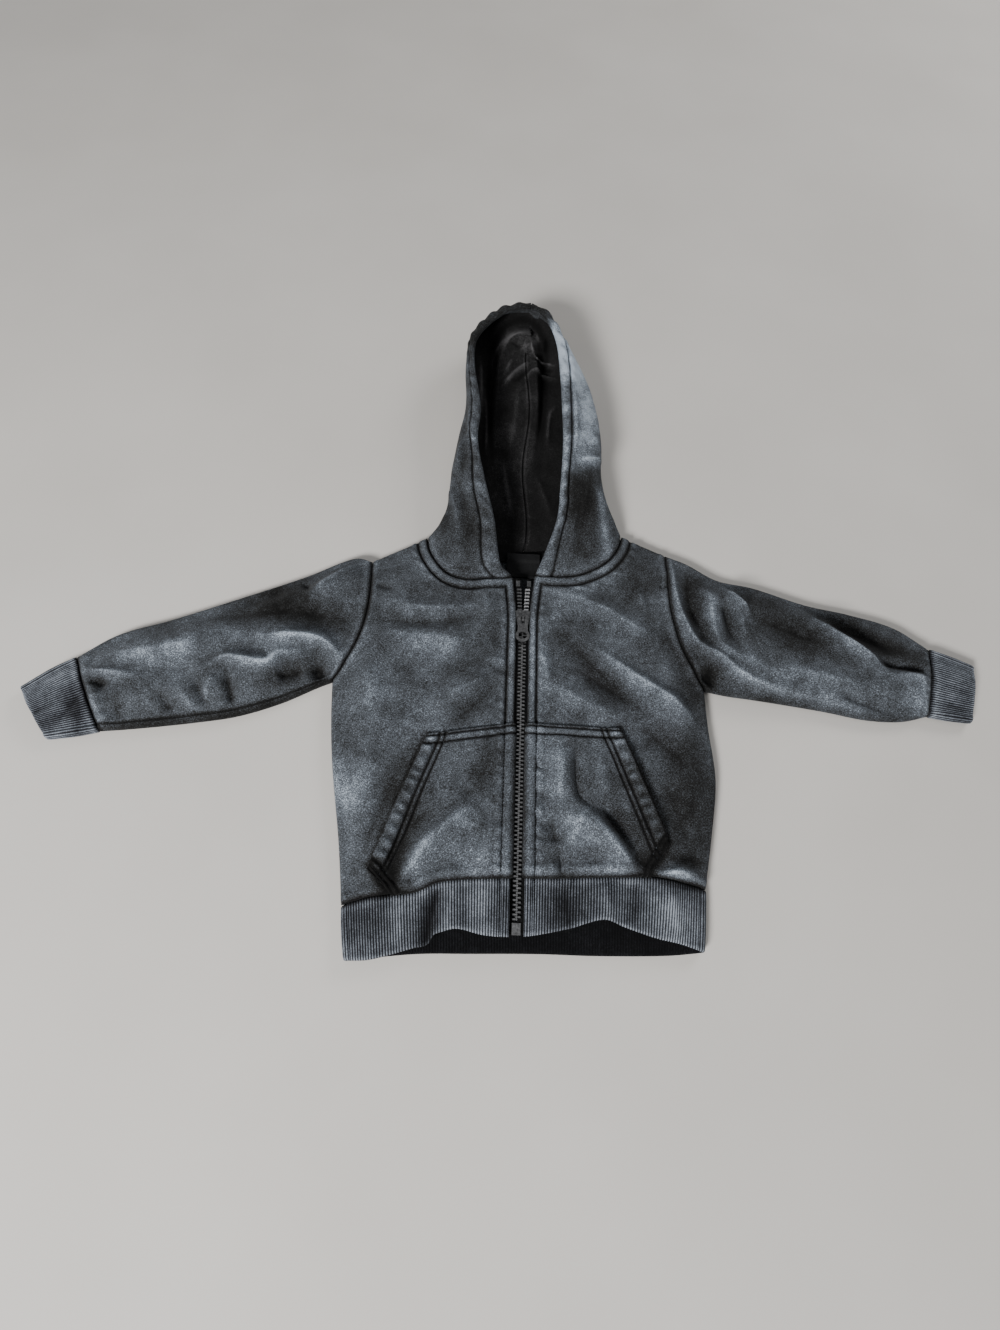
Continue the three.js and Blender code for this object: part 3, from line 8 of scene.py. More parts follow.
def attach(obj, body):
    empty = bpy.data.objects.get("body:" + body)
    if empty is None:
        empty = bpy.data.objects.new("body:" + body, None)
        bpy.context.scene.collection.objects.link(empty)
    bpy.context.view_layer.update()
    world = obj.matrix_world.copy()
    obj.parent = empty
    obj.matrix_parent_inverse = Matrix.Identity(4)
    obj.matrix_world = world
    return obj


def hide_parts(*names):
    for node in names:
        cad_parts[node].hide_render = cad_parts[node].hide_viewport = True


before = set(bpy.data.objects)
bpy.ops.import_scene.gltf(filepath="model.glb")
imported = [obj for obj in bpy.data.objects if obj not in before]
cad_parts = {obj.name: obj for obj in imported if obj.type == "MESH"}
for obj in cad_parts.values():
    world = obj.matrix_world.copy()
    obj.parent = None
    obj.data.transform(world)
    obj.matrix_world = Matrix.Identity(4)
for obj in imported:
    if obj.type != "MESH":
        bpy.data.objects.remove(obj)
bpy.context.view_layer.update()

# Sizes are in millimetres, in the frame of the solids, until a mesh is made
MM = 0.001
FLEECE = 2.0
RIBBING = 2.6
JERSEY = 1.0
SEAM_GAP = 0.3
HALF_GAP = SEAM_GAP / 2
FOLD_RADIUS = 4.5
FLAT_TOP = 2 * FOLD_RADIUS
FOLD_GAIN = 1.8
# Fold and crest tone: painted shade in fold troughs and painted highlight along crests, partly the wash's own paler
# high points
FOLD_SHADE_TONE = 0.2
CREST_HIGHLIGHT_TONE = 0.7
FOLD_POINT = 1.6
BODY_LOFT = 6.5
LOFT_REACH = 30
RIB_PITCH = 2.1
RIB_DEPTH = 0.8
RIB_SHADE_TONE = 6.4
ZIP_EDGE = 5.4
ZIP_BAND = 6.9
NECK_BAND = 8.5
CASING = 4.2
CASING_WIDE = 19.0
VIEWPOINT = (-29.12, -214.09, 548.0)
RIM_LEVEL = 40.0
PIT_ROW_RISE = 12
HEM_ROW_REACH = 0.625
FAR = 1e3
RNG_SEED = 7


def table(names, *rows):
    return dict(zip(names.split(), np.array(rows, float).T))


HALVES = {
    "right": dict(
        sign=-1,
        side=table("x y", (-127.3, -172), (-134.6, -128), (-147, -68), (-152.5, -31), (-155.7, 2)),
        armhole=table("x y", (-155.7, 2), (-145.9, 17.4), (-137.9, 37), (-132.5, 63.6), (-131.8, 90),
                      (-134.4, 118)),
        neckline=table("x y", (-10, 103.5), (-29.4, 101.2), (-50.2, 99.1), (-66.2, 103.9), (-77.4, 115.1),
                       (-84.7, 129.4), (-87.8, 145)),
        sleeve_top=table("x y", (-134.4, 118), (-148, 121), (-192.5, 98.6), (-246.5, 74.1), (-297.3, 51.9),
                         (-338.9, 35.4), (-366.2, 14.2)),
        sleeve_under=table("x y", (-155.7, 2), (-165.6, -2.5), (-194.9, -18.4), (-227.6, -31), (-260.8, -37.9),
                           (-310.4, -45.5), (-332.6, -48.1)),
        cuff_top=(-404.6, -14.2),
        cuff_under=(-372.5, -56.4),
        hem_side=(-120.9, -209.2),
        pocket=table("x y", (-73.7, -42.7), (-109.5, -145.5), (-90.5, -164.5)),
        pocket_top=-30.8,
    ),
    "left": dict(
        sign=1,
        side=table("x y", (141, -152), (149.5, -111), (156.3, -68), (154, -25), (153.3, 8)),
        armhole=table("x y", (153.3, 8), (145, 22), (135.9, 42.7), (128.6, 73.8), (127.1, 103.4), (128.2, 138)),
        neckline=table("x y", (10, 106), (27.3, 105.1), (44.9, 107.1), (60.1, 113.6), (73.8, 123.1),
                       (84.6, 138.6), (89.4, 155.8)),
        sleeve_top=table("x y", (128.2, 138), (146, 131), (173, 115), (203.6, 109), (250.7, 93.5), (286.7, 86.3),
                         (325.5, 74.6), (352.2, 55)),
        sleeve_under=table("x y", (153.3, 8), (172, 4.5), (195.3, 1.9), (252.1, -5.7), (289.3, -12),
                           (318.3, -11.9), (339.4, -6.6)),
        cuff_top=(389, 41),
        cuff_under=(376, -10.5),
        hem_side=(136, -195.6),
        pocket=table("x y", (79.2, -31.8), (113.1, -120.9), (98, -146)),
        pocket_top=-30.6,
    ),
}

HEM_SEAM = table(
    "x y",
    (-127.3, -172), (-108.9, -166.7), (-94.6, -164.5), (-74.6, -160.9), (-58.6, -153.8), (-44.7, -151.3),
    (-9.8, -149), (28.3, -147.6), (69.1, -145.4), (98.5, -145), (132.6, -150.3), (141, -152),
)
HEM_EDGE = table(
    "x y z",
    (-120.9, -209.2, 9), (-102.6, -208, 9.5), (-71.6, -199.3, 12), (-62.5, -196.6, 13.5), (-58.5, -190.6, 15.8), (-54.5, -188.8, 16.5),
    (-42, -185.9, 18.5),
    (-24.5, -189.3, 16.5), (-8.6, -190.1, 15), (10.5, -188.8, 15), (38, -183.1, 18), (62, -176.6, 21.5),
    (76, -180.6, 18.5), (100.5, -187.4, 14), (117.6, -190.4, 10.5), (136, -195.6, 9),
)
BACK_HEM_EDGE = table(
    "x y",
    (-120.9, -209.2), (-72, -203.2), (-32, -201.7), (16, -200.3), (60, -200.2), (110, -198.4), (136, -195.6),
)
BACK_HEM_SEAM_Y = -160
BACK_NECK_DIP = 13
BACK_NECK_SPAN = 180
BACK_CORNER = 35

# Folds from a to b: a negative height is a trough, and skew narrows the side left of a to b
FOLDS = table(
    "ax ay bx by wide high skew",
    # Right front, above the pocket
    (-122, 77, -92, 69, 9, 2.0, 0), (-92, 69, -62, 70, 7, 2.6, 0), (-62, 70, -36, 75, 8, 1.6, 0),
    (-116, 56, -80, 57, 7, -2.6, 0), (-80, 57, -42, 64, 7, -2.4, 0), (-116, 44, -40, 40, 14, 1.6, 0),
    (-128, 91, -112, 87, 3, -1.4, 0), (-18, 6, -36, -14, 7, -2.0, 0), (-36, -14, -54, -33, 8, -1.8, 0),
    (-26, 10, -62, -12, 9, 2.0, 0), (-13, 41, -25, 43, 3, -0.9, 0), (-13, 23, -26, 25, 4, 1.1, 0),
    (-13, 14, -22, 16, 3, -0.8, 0), (-34, 96, -30, 62, 9, 1.2, 0), (-128, 20, -120, -30, 14, 1.4, 0),
    (-88, 24, -118, -4, 14, -1.4, 0),
    # Right pocket and side
    (-86, -163, -77, -144, 7, 3.0, 0.4), (-77, -144, -66, -125, 8, 3.4, 0.45), (-66, -125, -42, -104, 9, 2.6, 0.4),
    (-42, -104, -30, -86, 9, 1.8, 0.3), (-97, -152, -84, -122, 8, -2.8, 0), (-84, -122, -64, -98, 9, -2.4, 0),
    (-22, -60, -44, -100, 9, -1.6, 0), (-30, -146, -18, -108, 12, 1.8, 0), (-94, -72, -120, -150, 8, -1.6, 0),
    (-126, -92, -124, -146, 11, 2.0, 0), (-138, -30, -136, -80, 12, -1.4, 0),
    # Left front, above the pocket
    (20, 92, 62, 79, 8, 1.8, 0), (62, 79, 106, 54, 9, 2.4, 0), (106, 54, 126, 47, 8, 1.4, 0),
    (17, 34, 21, 4, 6, 2.0, 0), (36, 46, 84, 0, 10, -2.2, 0), (58, 40, 93, 14, 8, 2.6, 0.3),
    (93, 14, 128, -10, 8, 3.4, 0.3), (128, -10, 152, -36, 9, 3.4, 0.3), (26, 2, 52, -11, 8, 1.8, 0),
    (52, -11, 80, -22, 8, 1.5, 0), (44, 20, 96, -12, 8, -1.8, 0), (100, 96, 104, 78, 4, 1.4, 0),
    (120, 60, 138, 18, 10, -2.0, 0), (96, -26, 134, -62, 13, -2.4, 0), (114, -70, 128, -120, 13, -2.0, 0),
    (140, -76, 142, -118, 9, 2.0, 0), (128, 102, 119, 100, 2.5, -1.2, 0),
    # Left pocket
    (32, -46, 31, -92, 8, 2.4, 0), (43, -48, 45, -84, 3.6, -2.6, 0), (45, -84, 52, -94, 4, -2.8, 0),
    (50, -99, 37, -126, 9, 3.0, 0), (50, -99, 66, -116, 7, 3.8, 0.45), (66, -116, 77, -130, 7, 4.0, 0.45),
    (77, -130, 88, -143, 7, 3.4, 0.45), (62, -96, 84, -126, 7, -2.4, 0), (24, -104, 29, -126, 7, -2.4, 0),
    (60, -50, 66, -86, 7, 1.2, 0), (31, -131, 32, -147, 2.6, -2.2, 0), (14, -142, 28, -141, 5, 0.8, 0),
    (36, -142, 80, -140, 6, 0.9, 0), (12, -56, 20, -57, 3, 0.9, 0), (12, -66, 22, -67, 3, -0.9, 0),
    (12, -78, 20, -79, 3, 0.9, 0), (12, -88, 22, -90, 3, -1.0, 0), (12, -100, 19, -101, 3, 0.9, 0),
    (105, -144, 119, -141, 4.5, 4.2, 0), (119, -141, 132, -142, 4.5, 4.8, 0), (132, -142, 142, -151, 4.5, 4.0, 0),
    # Right sleeve
    (-145, 113, -162, 98, 9, 2.6, -0.5), (-162, 98, -181, 78, 9, 3.4, -0.5), (-204, 86, -244, 70, 9, -2.6, 0),
    (-191, 92, -184, 83, 3, -1.6, 0), (-150, 54, -200, 60, 11, -3.4, 0), (-200, 60, -262, 50, 10, -2.6, 0),
    (-214, 35, -172, 35, 6, 4.4, 0), (-172, 35, -157, 28, 6, 4.6, 0), (-157, 28, -148, 17, 5, 3.6, 0),
    (-258, 5, -241, 13, 6, 3.0, 0), (-241, 13, -206, 11, 5.5, 4.2, 0), (-206, 11, -198, 20, 5.5, 4.2, 0),
    (-198, 20, -184, 22, 5.5, 3.8, 0), (-200, 2, -178, 8, 6, -4.4, 0), (-169, 14, -163, 3, 6, -6.0, 0),
    (-238, 1, -232, -23, 4.5, -3.2, 0), (-247, 0, -253, -20, 5, 1.6, 0), (-263, -5, -251, -26, 4, -2.0, 0),
    (-273, -14, -259, -30, 5, 1.6, 0), (-291, -16, -277, -32, 5, -1.8, 0), (-352, -2, -334, -2, 4, 2.6, 0),
    (-334, -2, -308, -5, 5, 2.0, 0), (-350, -10, -330, -11, 5, -2.8, 0), (-344, -20, -336, -36, 7, 2.4, 0),
    (-322, -26, -318, -42, 7, -1.8, 0), (-340, 13, -282, 23, 9, 1.6, 0), (-282, 23, -236, 33, 9, 1.6, 0),
    (-300, 2, -262, 4, 9, -1.4, 0),
    # Left sleeve
    (132, 126, 132, 98, 4, 3.2, 0), (132, 98, 137, 70, 4, 3.2, 0), (137, 70, 147, 46, 4.5, 3.6, 0),
    (147, 46, 163, 35, 5, 3.6, 0), (163, 35, 182, 19, 6, 4.4, -0.2), (182, 19, 214, 7, 7, 4.0, -0.2),
    (214, 7, 252, 1, 7, 3.4, -0.2), (252, 1, 297, -11, 7, 2.8, -0.2), (145, 118, 145, 80, 7, -3.0, 0),
    (145, 80, 154, 56, 6, -2.6, 0), (157, 26, 156, 6, 5, -6.0, 0), (162, 94, 162, 60, 6, 3.0, 0),
    (162, 60, 170, 42, 6, 2.6, 0), (170, 42, 196, 30, 8, 1.8, 0), (174, 90, 177, 60, 4, -3.4, 0),
    (177, 60, 182, 48, 4, -2.4, 0), (176, 103, 184, 92, 6, 3.4, 0.5), (184, 92, 194, 77, 6, 3.8, 0.5),
    (187, 76, 188, 52, 5, 1.8, 0), (204, 72, 256, 50, 13, -2.8, 0), (244, 82, 260, 64, 7, 3.6, 0.5),
    (260, 64, 280, 50, 7, 4.2, 0.5), (280, 50, 297, 36, 7, 4.0, 0.5), (297, 36, 309, 22, 7, 2.4, 0.4),
    (262, 79, 292, 60, 8, -4.2, 0), (292, 60, 330, 46, 9, -4.4, 0), (300, 36, 342, 30, 4, -3.2, 0),
    (311, 23, 333, 25, 5, 2.6, 0), (333, 25, 338, 16, 5, 2.2, 0), (262, 8, 288, -1, 4, -2.2, 0),
    (288, -1, 308, -8, 4, -2.0, 0), (335, 12, 337, -6, 6, 1.8, 0), (220, 26, 280, 14, 8, 1.4, 0),
)

RIB_FOLDS = table(
    "ax ay bx by wide high skew",
    (-56, -150, -60, -172, 5, -5.0, 0), (-60, -172, -66, -206, 5, -5.0, 0), (-46, -154, -50, -186, 7, 2.0, 0),
    (-84, -160, -82, -204, 8, 2.2, 0),
    (-40, -154, -36, -186, 7, -1.8, 0), (-22, -152, -24, -190, 7, 1.4, 0), (34, -150, 38, -184, 8, -2.6, 0),
    (62, -148, 66, -178, 8, 2.4, 0), (88, -148, 84, -184, 7, -2.2, 0), (112, -152, 116, -190, 9, 2.4, 0),
    (-350, -16, -366, -44, 5, -2.8, 0), (-362, 2, -386, -14, 8, 1.6, 0), (-372, -30, -388, -38, 5, -1.8, 0),
    (352, 40, 384, 28, 6, 1.2, 0), (350, 22, 382, 12, 6, -1.4, 0), (352, 4, 378, -2, 5, -1.2, 0),
)

# Broad soft areas paler or darker: partly the wash's own mottling, partly painted light and shade, such as painted
# shadow in hollows and under overhangs and painted highlight on the hood's lit side and rims
WASH_AND_SHADE = table(
    "x y rx ry turn tone",
    # Fronts
    (134, -78, 20, 62, 0, -1.1), (146, 5, 14, 30, 0, -0.6), (-128, -92, 22, 60, -6, 0.9),
    (-100, -98, 8, 46, -20, -0.7), (-24, 50, 9, 15, 0, -0.8), (-70, 33, 34, 12, 0, 0.5),
    (72, 6, 34, 12, -35, -0.9), (98, -98, 9, 44, 16, -0.6), (-66, 88, 40, 8, 0, -0.5),
    (24, 18, 10, 20, 0, 0.6), (55, -75, 12, 30, 0, -0.4), (64, -128, 24, 12, -40, 0.5),
    (-50, -132, 26, 16, 40, 0.2), (-84, -118, 8, 34, -28, -0.9), (78, -104, 8, 26, 30, -0.8),
    (-45, 20, 12, 22, -50, -0.6), (110, 100, 16, 20, 0, -0.5), (-112, -15, 16, 30, 0, 0.3),
    (-110, 60, 16, 10, 0, -0.5), (-20, -95, 8, 50, 0, 0.3), (22, -95, 8, 50, 0, 0.3),
    # Right sleeve
    (-186, 60, 42, 13, -8, -1.3), (-212, 84, 40, 11, -26, -1.1), (-150, 92, 13, 22, 30, -0.2),
    (-300, 12, 40, 20, -22, 0.8), (-232, 34, 40, 8, -18, 0.7), (-190, -4, 30, 8, 14, -0.6),
    (-345, -12, 8, 8, 0, -0.8), (-222, -12, 16, 10, 0, 0.4), (-300, -26, 24, 8, -10, 0.4),
    # Left sleeve
    (236, 62, 40, 19, -22, -1.0), (306, 58, 36, 13, -32, -1.4), (150, 84, 8, 30, 4, -1.2),
    (166, 74, 6, 26, 4, 0.9), (196, 30, 34, 8, -28, 0.9), (262, 8, 40, 9, -14, 0.5),
    (205, 92, 22, 10, -22, -0.9), (158, 17, 5, 12, 0, -1.8), (330, 10, 16, 16, 0, 0.3),
    # Hood
    (56, 258, 14, 46, -8, 2.4), (40, 338, 12, 44, 12, 4.4), (60, 212, 12, 7, 0, 1.6), (-72, 150, 11, 44, 6, -1.1), (-60, 250, 8, 50, 0, -0.4),
    (66, 160, 4, 40, 6, 1.8), (-47, 120, 12, 34, 0, -0.5), (26, 372, 10, 6, -50, 1.2),
    (70, 150, 7, 22, 20, -0.6), (-60, 190, 9, 60, 0, -0.6),
    # Cuffs
    (-352, -34, 8, 22, 20, -1.6), (-376, -22, 26, 22, 0, -0.6), (-380, -47, 26, 6, 22, -1.6), (-378, -12, 22, 10, 22, 0.5),
    (372, 44, 16, 8, -25, 0.5), (360, 2, 18, 6, -5, -0.8),
    # Hem band
    (-64, -180, 6, 22, -8, -1.3), (-38, -172, 14, 12, 0, 0.5), (66, -166, 12, 14, 0, 0.5),
    (123, -144, 18, 3.5, -8, 1.5), (122, -152, 18, 2.2, -8, -2.0), (124, -132, 20, 5, -6, -1.8),
    (-91, -150, 7, 17, -15, -3.0), (-80, -158, 8, 6, 0, -1.4), (90, -138, 8, 9, 0, -1.8), (-105, -188, 14, 14, 0, -0.3), (112, -172, 16, 14, 0, 0.6), (34, -172, 12, 14, 0, -0.6),
)

HOOD = {
    "right": table(
        "at openX openY openZ wideX wideY wideZ backY",
        (0, -10, 103.5, 15.5, -87.8, 145, 5, 137), (0.1, -21, 112, 24, -77, 157, 13, 147),
        (0.25, -28, 151, 34, -69, 178, 20, 172), (0.4, -38, 191, 40, -69, 208, 22, 202),
        (0.55, -46, 232, 43, -65, 246, 24, 234), (0.68, -45, 270, 45, -60, 282, 26, 266),
        (0.8, -53, 320, 47, -62, 332, 30, 292), (0.87, -52, 350, 48, -60, 362, 33, 304),
        (0.92, -40, 371, 49, -47, 383, 34, 314), (0.96, -23, 388, 49, -28, 400, 35, 320),
        (1, 0, 397, 49, 0, 408, 36, 326),
    ),
    "left": table(
        "at openX openY openZ wideX wideY wideZ backY",
        (0, 10, 106, 15.5, 89.4, 155.8, 5, 137), (0.1, 14, 114, 22, 83, 166, 12, 147),
        (0.25, 27, 151, 34, 74, 187, 18, 172), (0.4, 30, 188, 40, 70, 214, 19, 202),
        (0.55, 32, 232, 43, 71, 246, 20, 234), (0.68, 31, 270, 45, 68, 278, 22, 266),
        (0.8, 29, 315, 46, 59, 316, 24, 292), (0.87, 26, 348, 47, 47, 344, 27, 304),
        (0.92, 20, 370, 48, 34, 369, 30, 314), (0.96, 11, 387, 49, 20, 392, 34, 320),
        (1, 0, 397, 49, 0, 408, 36, 326),
    ),
}
ARM_SHARES = (0.16, 0.3, 0.42, 0.52, 0.62, 0.71, 0.8, 0.89)
NECK_SHARES = (0.22, 0.42, 0.6, 0.76, 0.88)
BACK_NECK_SHARES = (0.36, 0.68)
NECK_BLEND = 0.22
HOOD_TURN_STEPS = 3
CROWN_ROUND = 2.4


# Shared curves and distances
def as_seen(p):
    """Where a place appears to be when it is taken to lie at the level of the hood's rim"""
    k = (VIEWPOINT[2] - RIM_LEVEL) / (VIEWPOINT[2] - p[..., 2])
    return VIEWPOINT[0] + (p[..., 0] - VIEWPOINT[0]) * k, VIEWPOINT[1] + (p[..., 1] - VIEWPOINT[1]) * k


def smooth(t):
    s = np.clip(t, 0, 1)
    return s * s * (3 - 2 * s)


def lerp(a, b, t):
    return a + (b - a) * t


def bell(d, wide):
    return np.exp(-((d / wide) ** 2))


def unit(v):
    return v / np.maximum(np.linalg.norm(v, axis=-1, keepdims=True), 1e-9)


def rolled(distance):
    c = np.clip(1 - distance / FOLD_RADIUS, 0, 1)
    return np.sqrt(1 - c * c), c


def column(data, at, name):
    xs, ys = data[at], data[name]
    i = np.arange(len(xs))
    a, b = np.maximum(i - 1, 0), np.minimum(i + 1, len(xs) - 1)
    slopes = (ys[b] - ys[a]) / (xs[b] - xs[a])

    def read(x):
        t = np.clip(x, xs[0], xs[-1])
        k = np.clip(np.searchsorted(xs, t, side="right") - 1, 0, len(xs) - 2)
        h = xs[k + 1] - xs[k]
        s = (t - xs[k]) / h
        s2, s3 = s * s, s * s * s
        rise = (s3 - 2 * s2 + s) * h * slopes[k] + (s3 - s2) * h * slopes[k + 1]
        return (2 * s3 - 3 * s2 + 1) * ys[k] + (3 * s2 - 2 * s3) * ys[k + 1] + rise

    return read


class Curve:
    """A smooth plan curve through a table's x and y, read by distance"""

    def __init__(self, data, steps=120):
        p = np.stack([data["x"], data["y"]], 1)
        p = np.vstack([2 * p[0] - p[1], p, 2 * p[-1] - p[-2]])
        parts = []
        for i in range(1, len(p) - 2):
            p0, p1, p2, p3 = p[i - 1 : i + 3]
            d0, d1, d2 = (np.linalg.norm(b - a) ** 0.5 for a, b in ((p0, p1), (p1, p2), (p2, p3)))
            t1 = ((p1 - p0) / d0 - (p2 - p0) / (d0 + d1) + (p2 - p1) / d1) * d1
            t2 = ((p2 - p1) / d1 - (p3 - p1) / (d1 + d2) + (p3 - p2) / d2) * d1
            s = np.linspace(0, 1, steps, endpoint=i == len(p) - 3)[:, None]
            parts.append(p1 + t1 * s + (3 * (p2 - p1) - 2 * t1 - t2) * s**2 + (2 * (p1 - p2) + t1 + t2) * s**3)
        self.points = np.vstack(parts)
        self.sums = np.concatenate([[0], np.cumsum(np.linalg.norm(np.diff(self.points, axis=0), axis=1))])
        self.length = self.sums[-1]

    def at(self, distance):
        return np.stack([np.interp(distance, self.sums, self.points[:, k]) for k in (0, 1)], -1)

    def tangent(self, distance):
        ahead = self.at(np.minimum(distance + 0.4, self.length))
        return unit(ahead - self.at(np.maximum(distance - 0.4, 0)))


def line_distance(x, y, line):
    """How far each point is from an open line in plan, and how far along the line its nearest place is"""
    best = np.full(x.shape, 1e9)
    along = np.zeros(x.shape)
    start = 0.0
    for (ax, ay), (bx, by) in zip(line[:-1], line[1:]):
        dx, dy = bx - ax, by - ay
        length = math.hypot(dx, dy)
        t = np.clip(((x - ax) * dx + (y - ay) * dy) / length**2, 0, 1)
        d = np.hypot(x - ax - t * dx, y - ay - t * dy)
        nearer = d < best
        best = np.where(nearer, d, best)
        along = np.where(nearer, start + t * length, along)
        start += length
    return best, along


def noise(x, y, cell, seed):
    """Soft uneven height between -1 and 1"""
    size = 61
    lattice = np.random.default_rng(RNG_SEED + seed).uniform(-1, 1, (size, size))
    u, v = x / cell + 1000, y / cell + 1000
    i, j = np.floor(u).astype(int), np.floor(v).astype(int)
    fu, fv = smooth(u - i), smooth(v - j)
    near = lerp(lattice[i % size, j % size], lattice[(i + 1) % size, j % size], fu)
    far = lerp(lattice[i % size, (j + 1) % size], lattice[(i + 1) % size, (j + 1) % size], fu)
    return lerp(near, far, fv)


def fold_chains(folds):
    """Rows that follow on from each other become one curved fold, which dies away at its two ends"""
    chains = []
    for ax, ay, bx, by, wide, high, skew in zip(*(folds[k] for k in "ax ay bx by wide high skew".split())):
        follows = chains and chains[-1][0][-1] == (ax, ay) and chains[-1][2][-1] * high > 0
        if not follows:
            chains.append(([(ax, ay)], [], [], []))
        for values, value in zip(chains[-1], ((bx, by), wide, high, skew)):
            values.append(value)
    made = []
    for points, *columns in chains:
        curve = Curve({"x": np.array(points)[:, 0], "y": np.array(points)[:, 1]}, 7)
        line = curve.at(np.linspace(0, curve.length, 4 * len(points) + 3))
        middles = (np.arange(len(points) - 1) + 0.5) / (len(points) - 1) * curve.length
        made.append((line, curve.length, middles, columns))
    return made


def fold_height(x, y, chains):
    """Height of the folds at each place, and how near it is to a crest (up to 1) or a trough (down to -1)"""
    x, y = np.broadcast_arrays(np.asarray(x, float), np.asarray(y, float))
    total, crest = np.zeros(x.shape), np.zeros(x.shape)
    for line, length, middles, (wides, highs, skews) in chains:
        reach = 2.6 * max(wides) * (1 + max(abs(k) for k in skews))
        low, top = line.min(0) - reach, line.max(0) + reach
        near = (x > low[0]) & (x < top[0]) & (y > low[1]) & (y < top[1])
        if not near.any():
            continue
        u, v = x[near], y[near]
        best, side, at = np.full(u.shape, 1e9), np.zeros(u.shape), np.zeros(u.shape)
        step = length / (len(line) - 1)
        for k, ((ax, ay), (bx, by)) in enumerate(zip(line[:-1], line[1:])):
            dx, dy = bx - ax, by - ay
            t = np.clip(((u - ax) * dx + (v - ay) * dy) / (dx * dx + dy * dy), 0, 1)
            px, py = u - ax - t * dx, v - ay - t * dy
            d = np.hypot(px, py)
            nearer = d < best
            best = np.where(nearer, d, best)
            side = np.where(nearer, dx * py - dy * px, side)
            at = np.where(nearer, (k + t) * step, at)
        wide, high, skew = (np.interp(at, middles, values) for values in (wides, highs, skews))
        fade = 0.3 + 0.7 * smooth(np.minimum(at, length - at) / (0.28 * length))
        turn = np.tanh(side / (step * wide * 0.3))
        total[near] += high * fade * np.exp(-((best / (wide * (1 - skew * turn))) ** FOLD_POINT))
        crest[near] += np.sign(high) * np.minimum(np.abs(high) / 3, 1) * fade * bell(best, 1.8)
    return total, crest


# The wash's own random mottling, plus the patches above, many of which are painted light and shade
def wash_and_shade_tone(x, y):
    total = 0.4 * noise(x, y, 44, 41) + 0.4 * noise(x, y, 23, 42) + 0.35 * noise(x, y, 12, 43)
    total += 0.2 * noise(x, y, 6, 44)
    for cx, cy, rx, ry, turn, tone in zip(*(WASH_AND_SHADE[k] for k in "x y rx ry turn tone".split())):
        c, s = math.cos(math.radians(turn)), math.sin(math.radians(turn))
        u, v = (x - cx) * c + (y - cy) * s, (y - cy) * c - (x - cx) * s
        total += tone * np.exp(-((u / rx) ** 2) - (v / ry) ** 2)
    return total


def hollow_shadow_tone(x, y):
    """Painted shadow in the hollow under the fold on the left of the hood, darker than the cloth round it"""
    across, along = (x - 49.5 - 0.05 * (y - 160)) / 14, (y - 158) / 44
    inside = np.exp(-(np.abs(across) ** 5)) * np.where(along > 0, np.exp(-(np.abs(along) ** 8)), bell(along, 1.1))
    return -2.0 * inside


body_folds = fold_chains(FOLDS)
rib_folds = fold_chains(RIB_FOLDS)


def cloth_noise(x, y):
    return 0.55 * noise(x, y, 31, 1) + 0.3 * noise(x, y, 17, 2) + 0.16 * noise(x, y, 8.5, 3)


def seam_dip(d, deep=1.8, reach=2.6):
    c = np.clip(1 - d / reach, 0, 1)
    return -deep * (1 - np.sqrt(np.maximum(1 - c * c, 0)))


def seam_tone(d):
    return -2.4 * bell(d, 1.5) + 0.5 * bell(d - 4.4, 2.0)


hem_seam_y = column(HEM_SEAM, "x", "y")
hem_edge_y = column(HEM_EDGE, "x", "y")
hem_edge_z = column(HEM_EDGE, "x", "z")
back_hem_y = column(BACK_HEM_EDGE, "x", "y")


def zip_edge_x(sign, y):
    return sign * (ZIP_EDGE + 4.6 * smooth((y - 58) / 60))


def away(sign, along):
    return np.stack([sign * along[..., 1], -sign * along[..., 0]], -1)


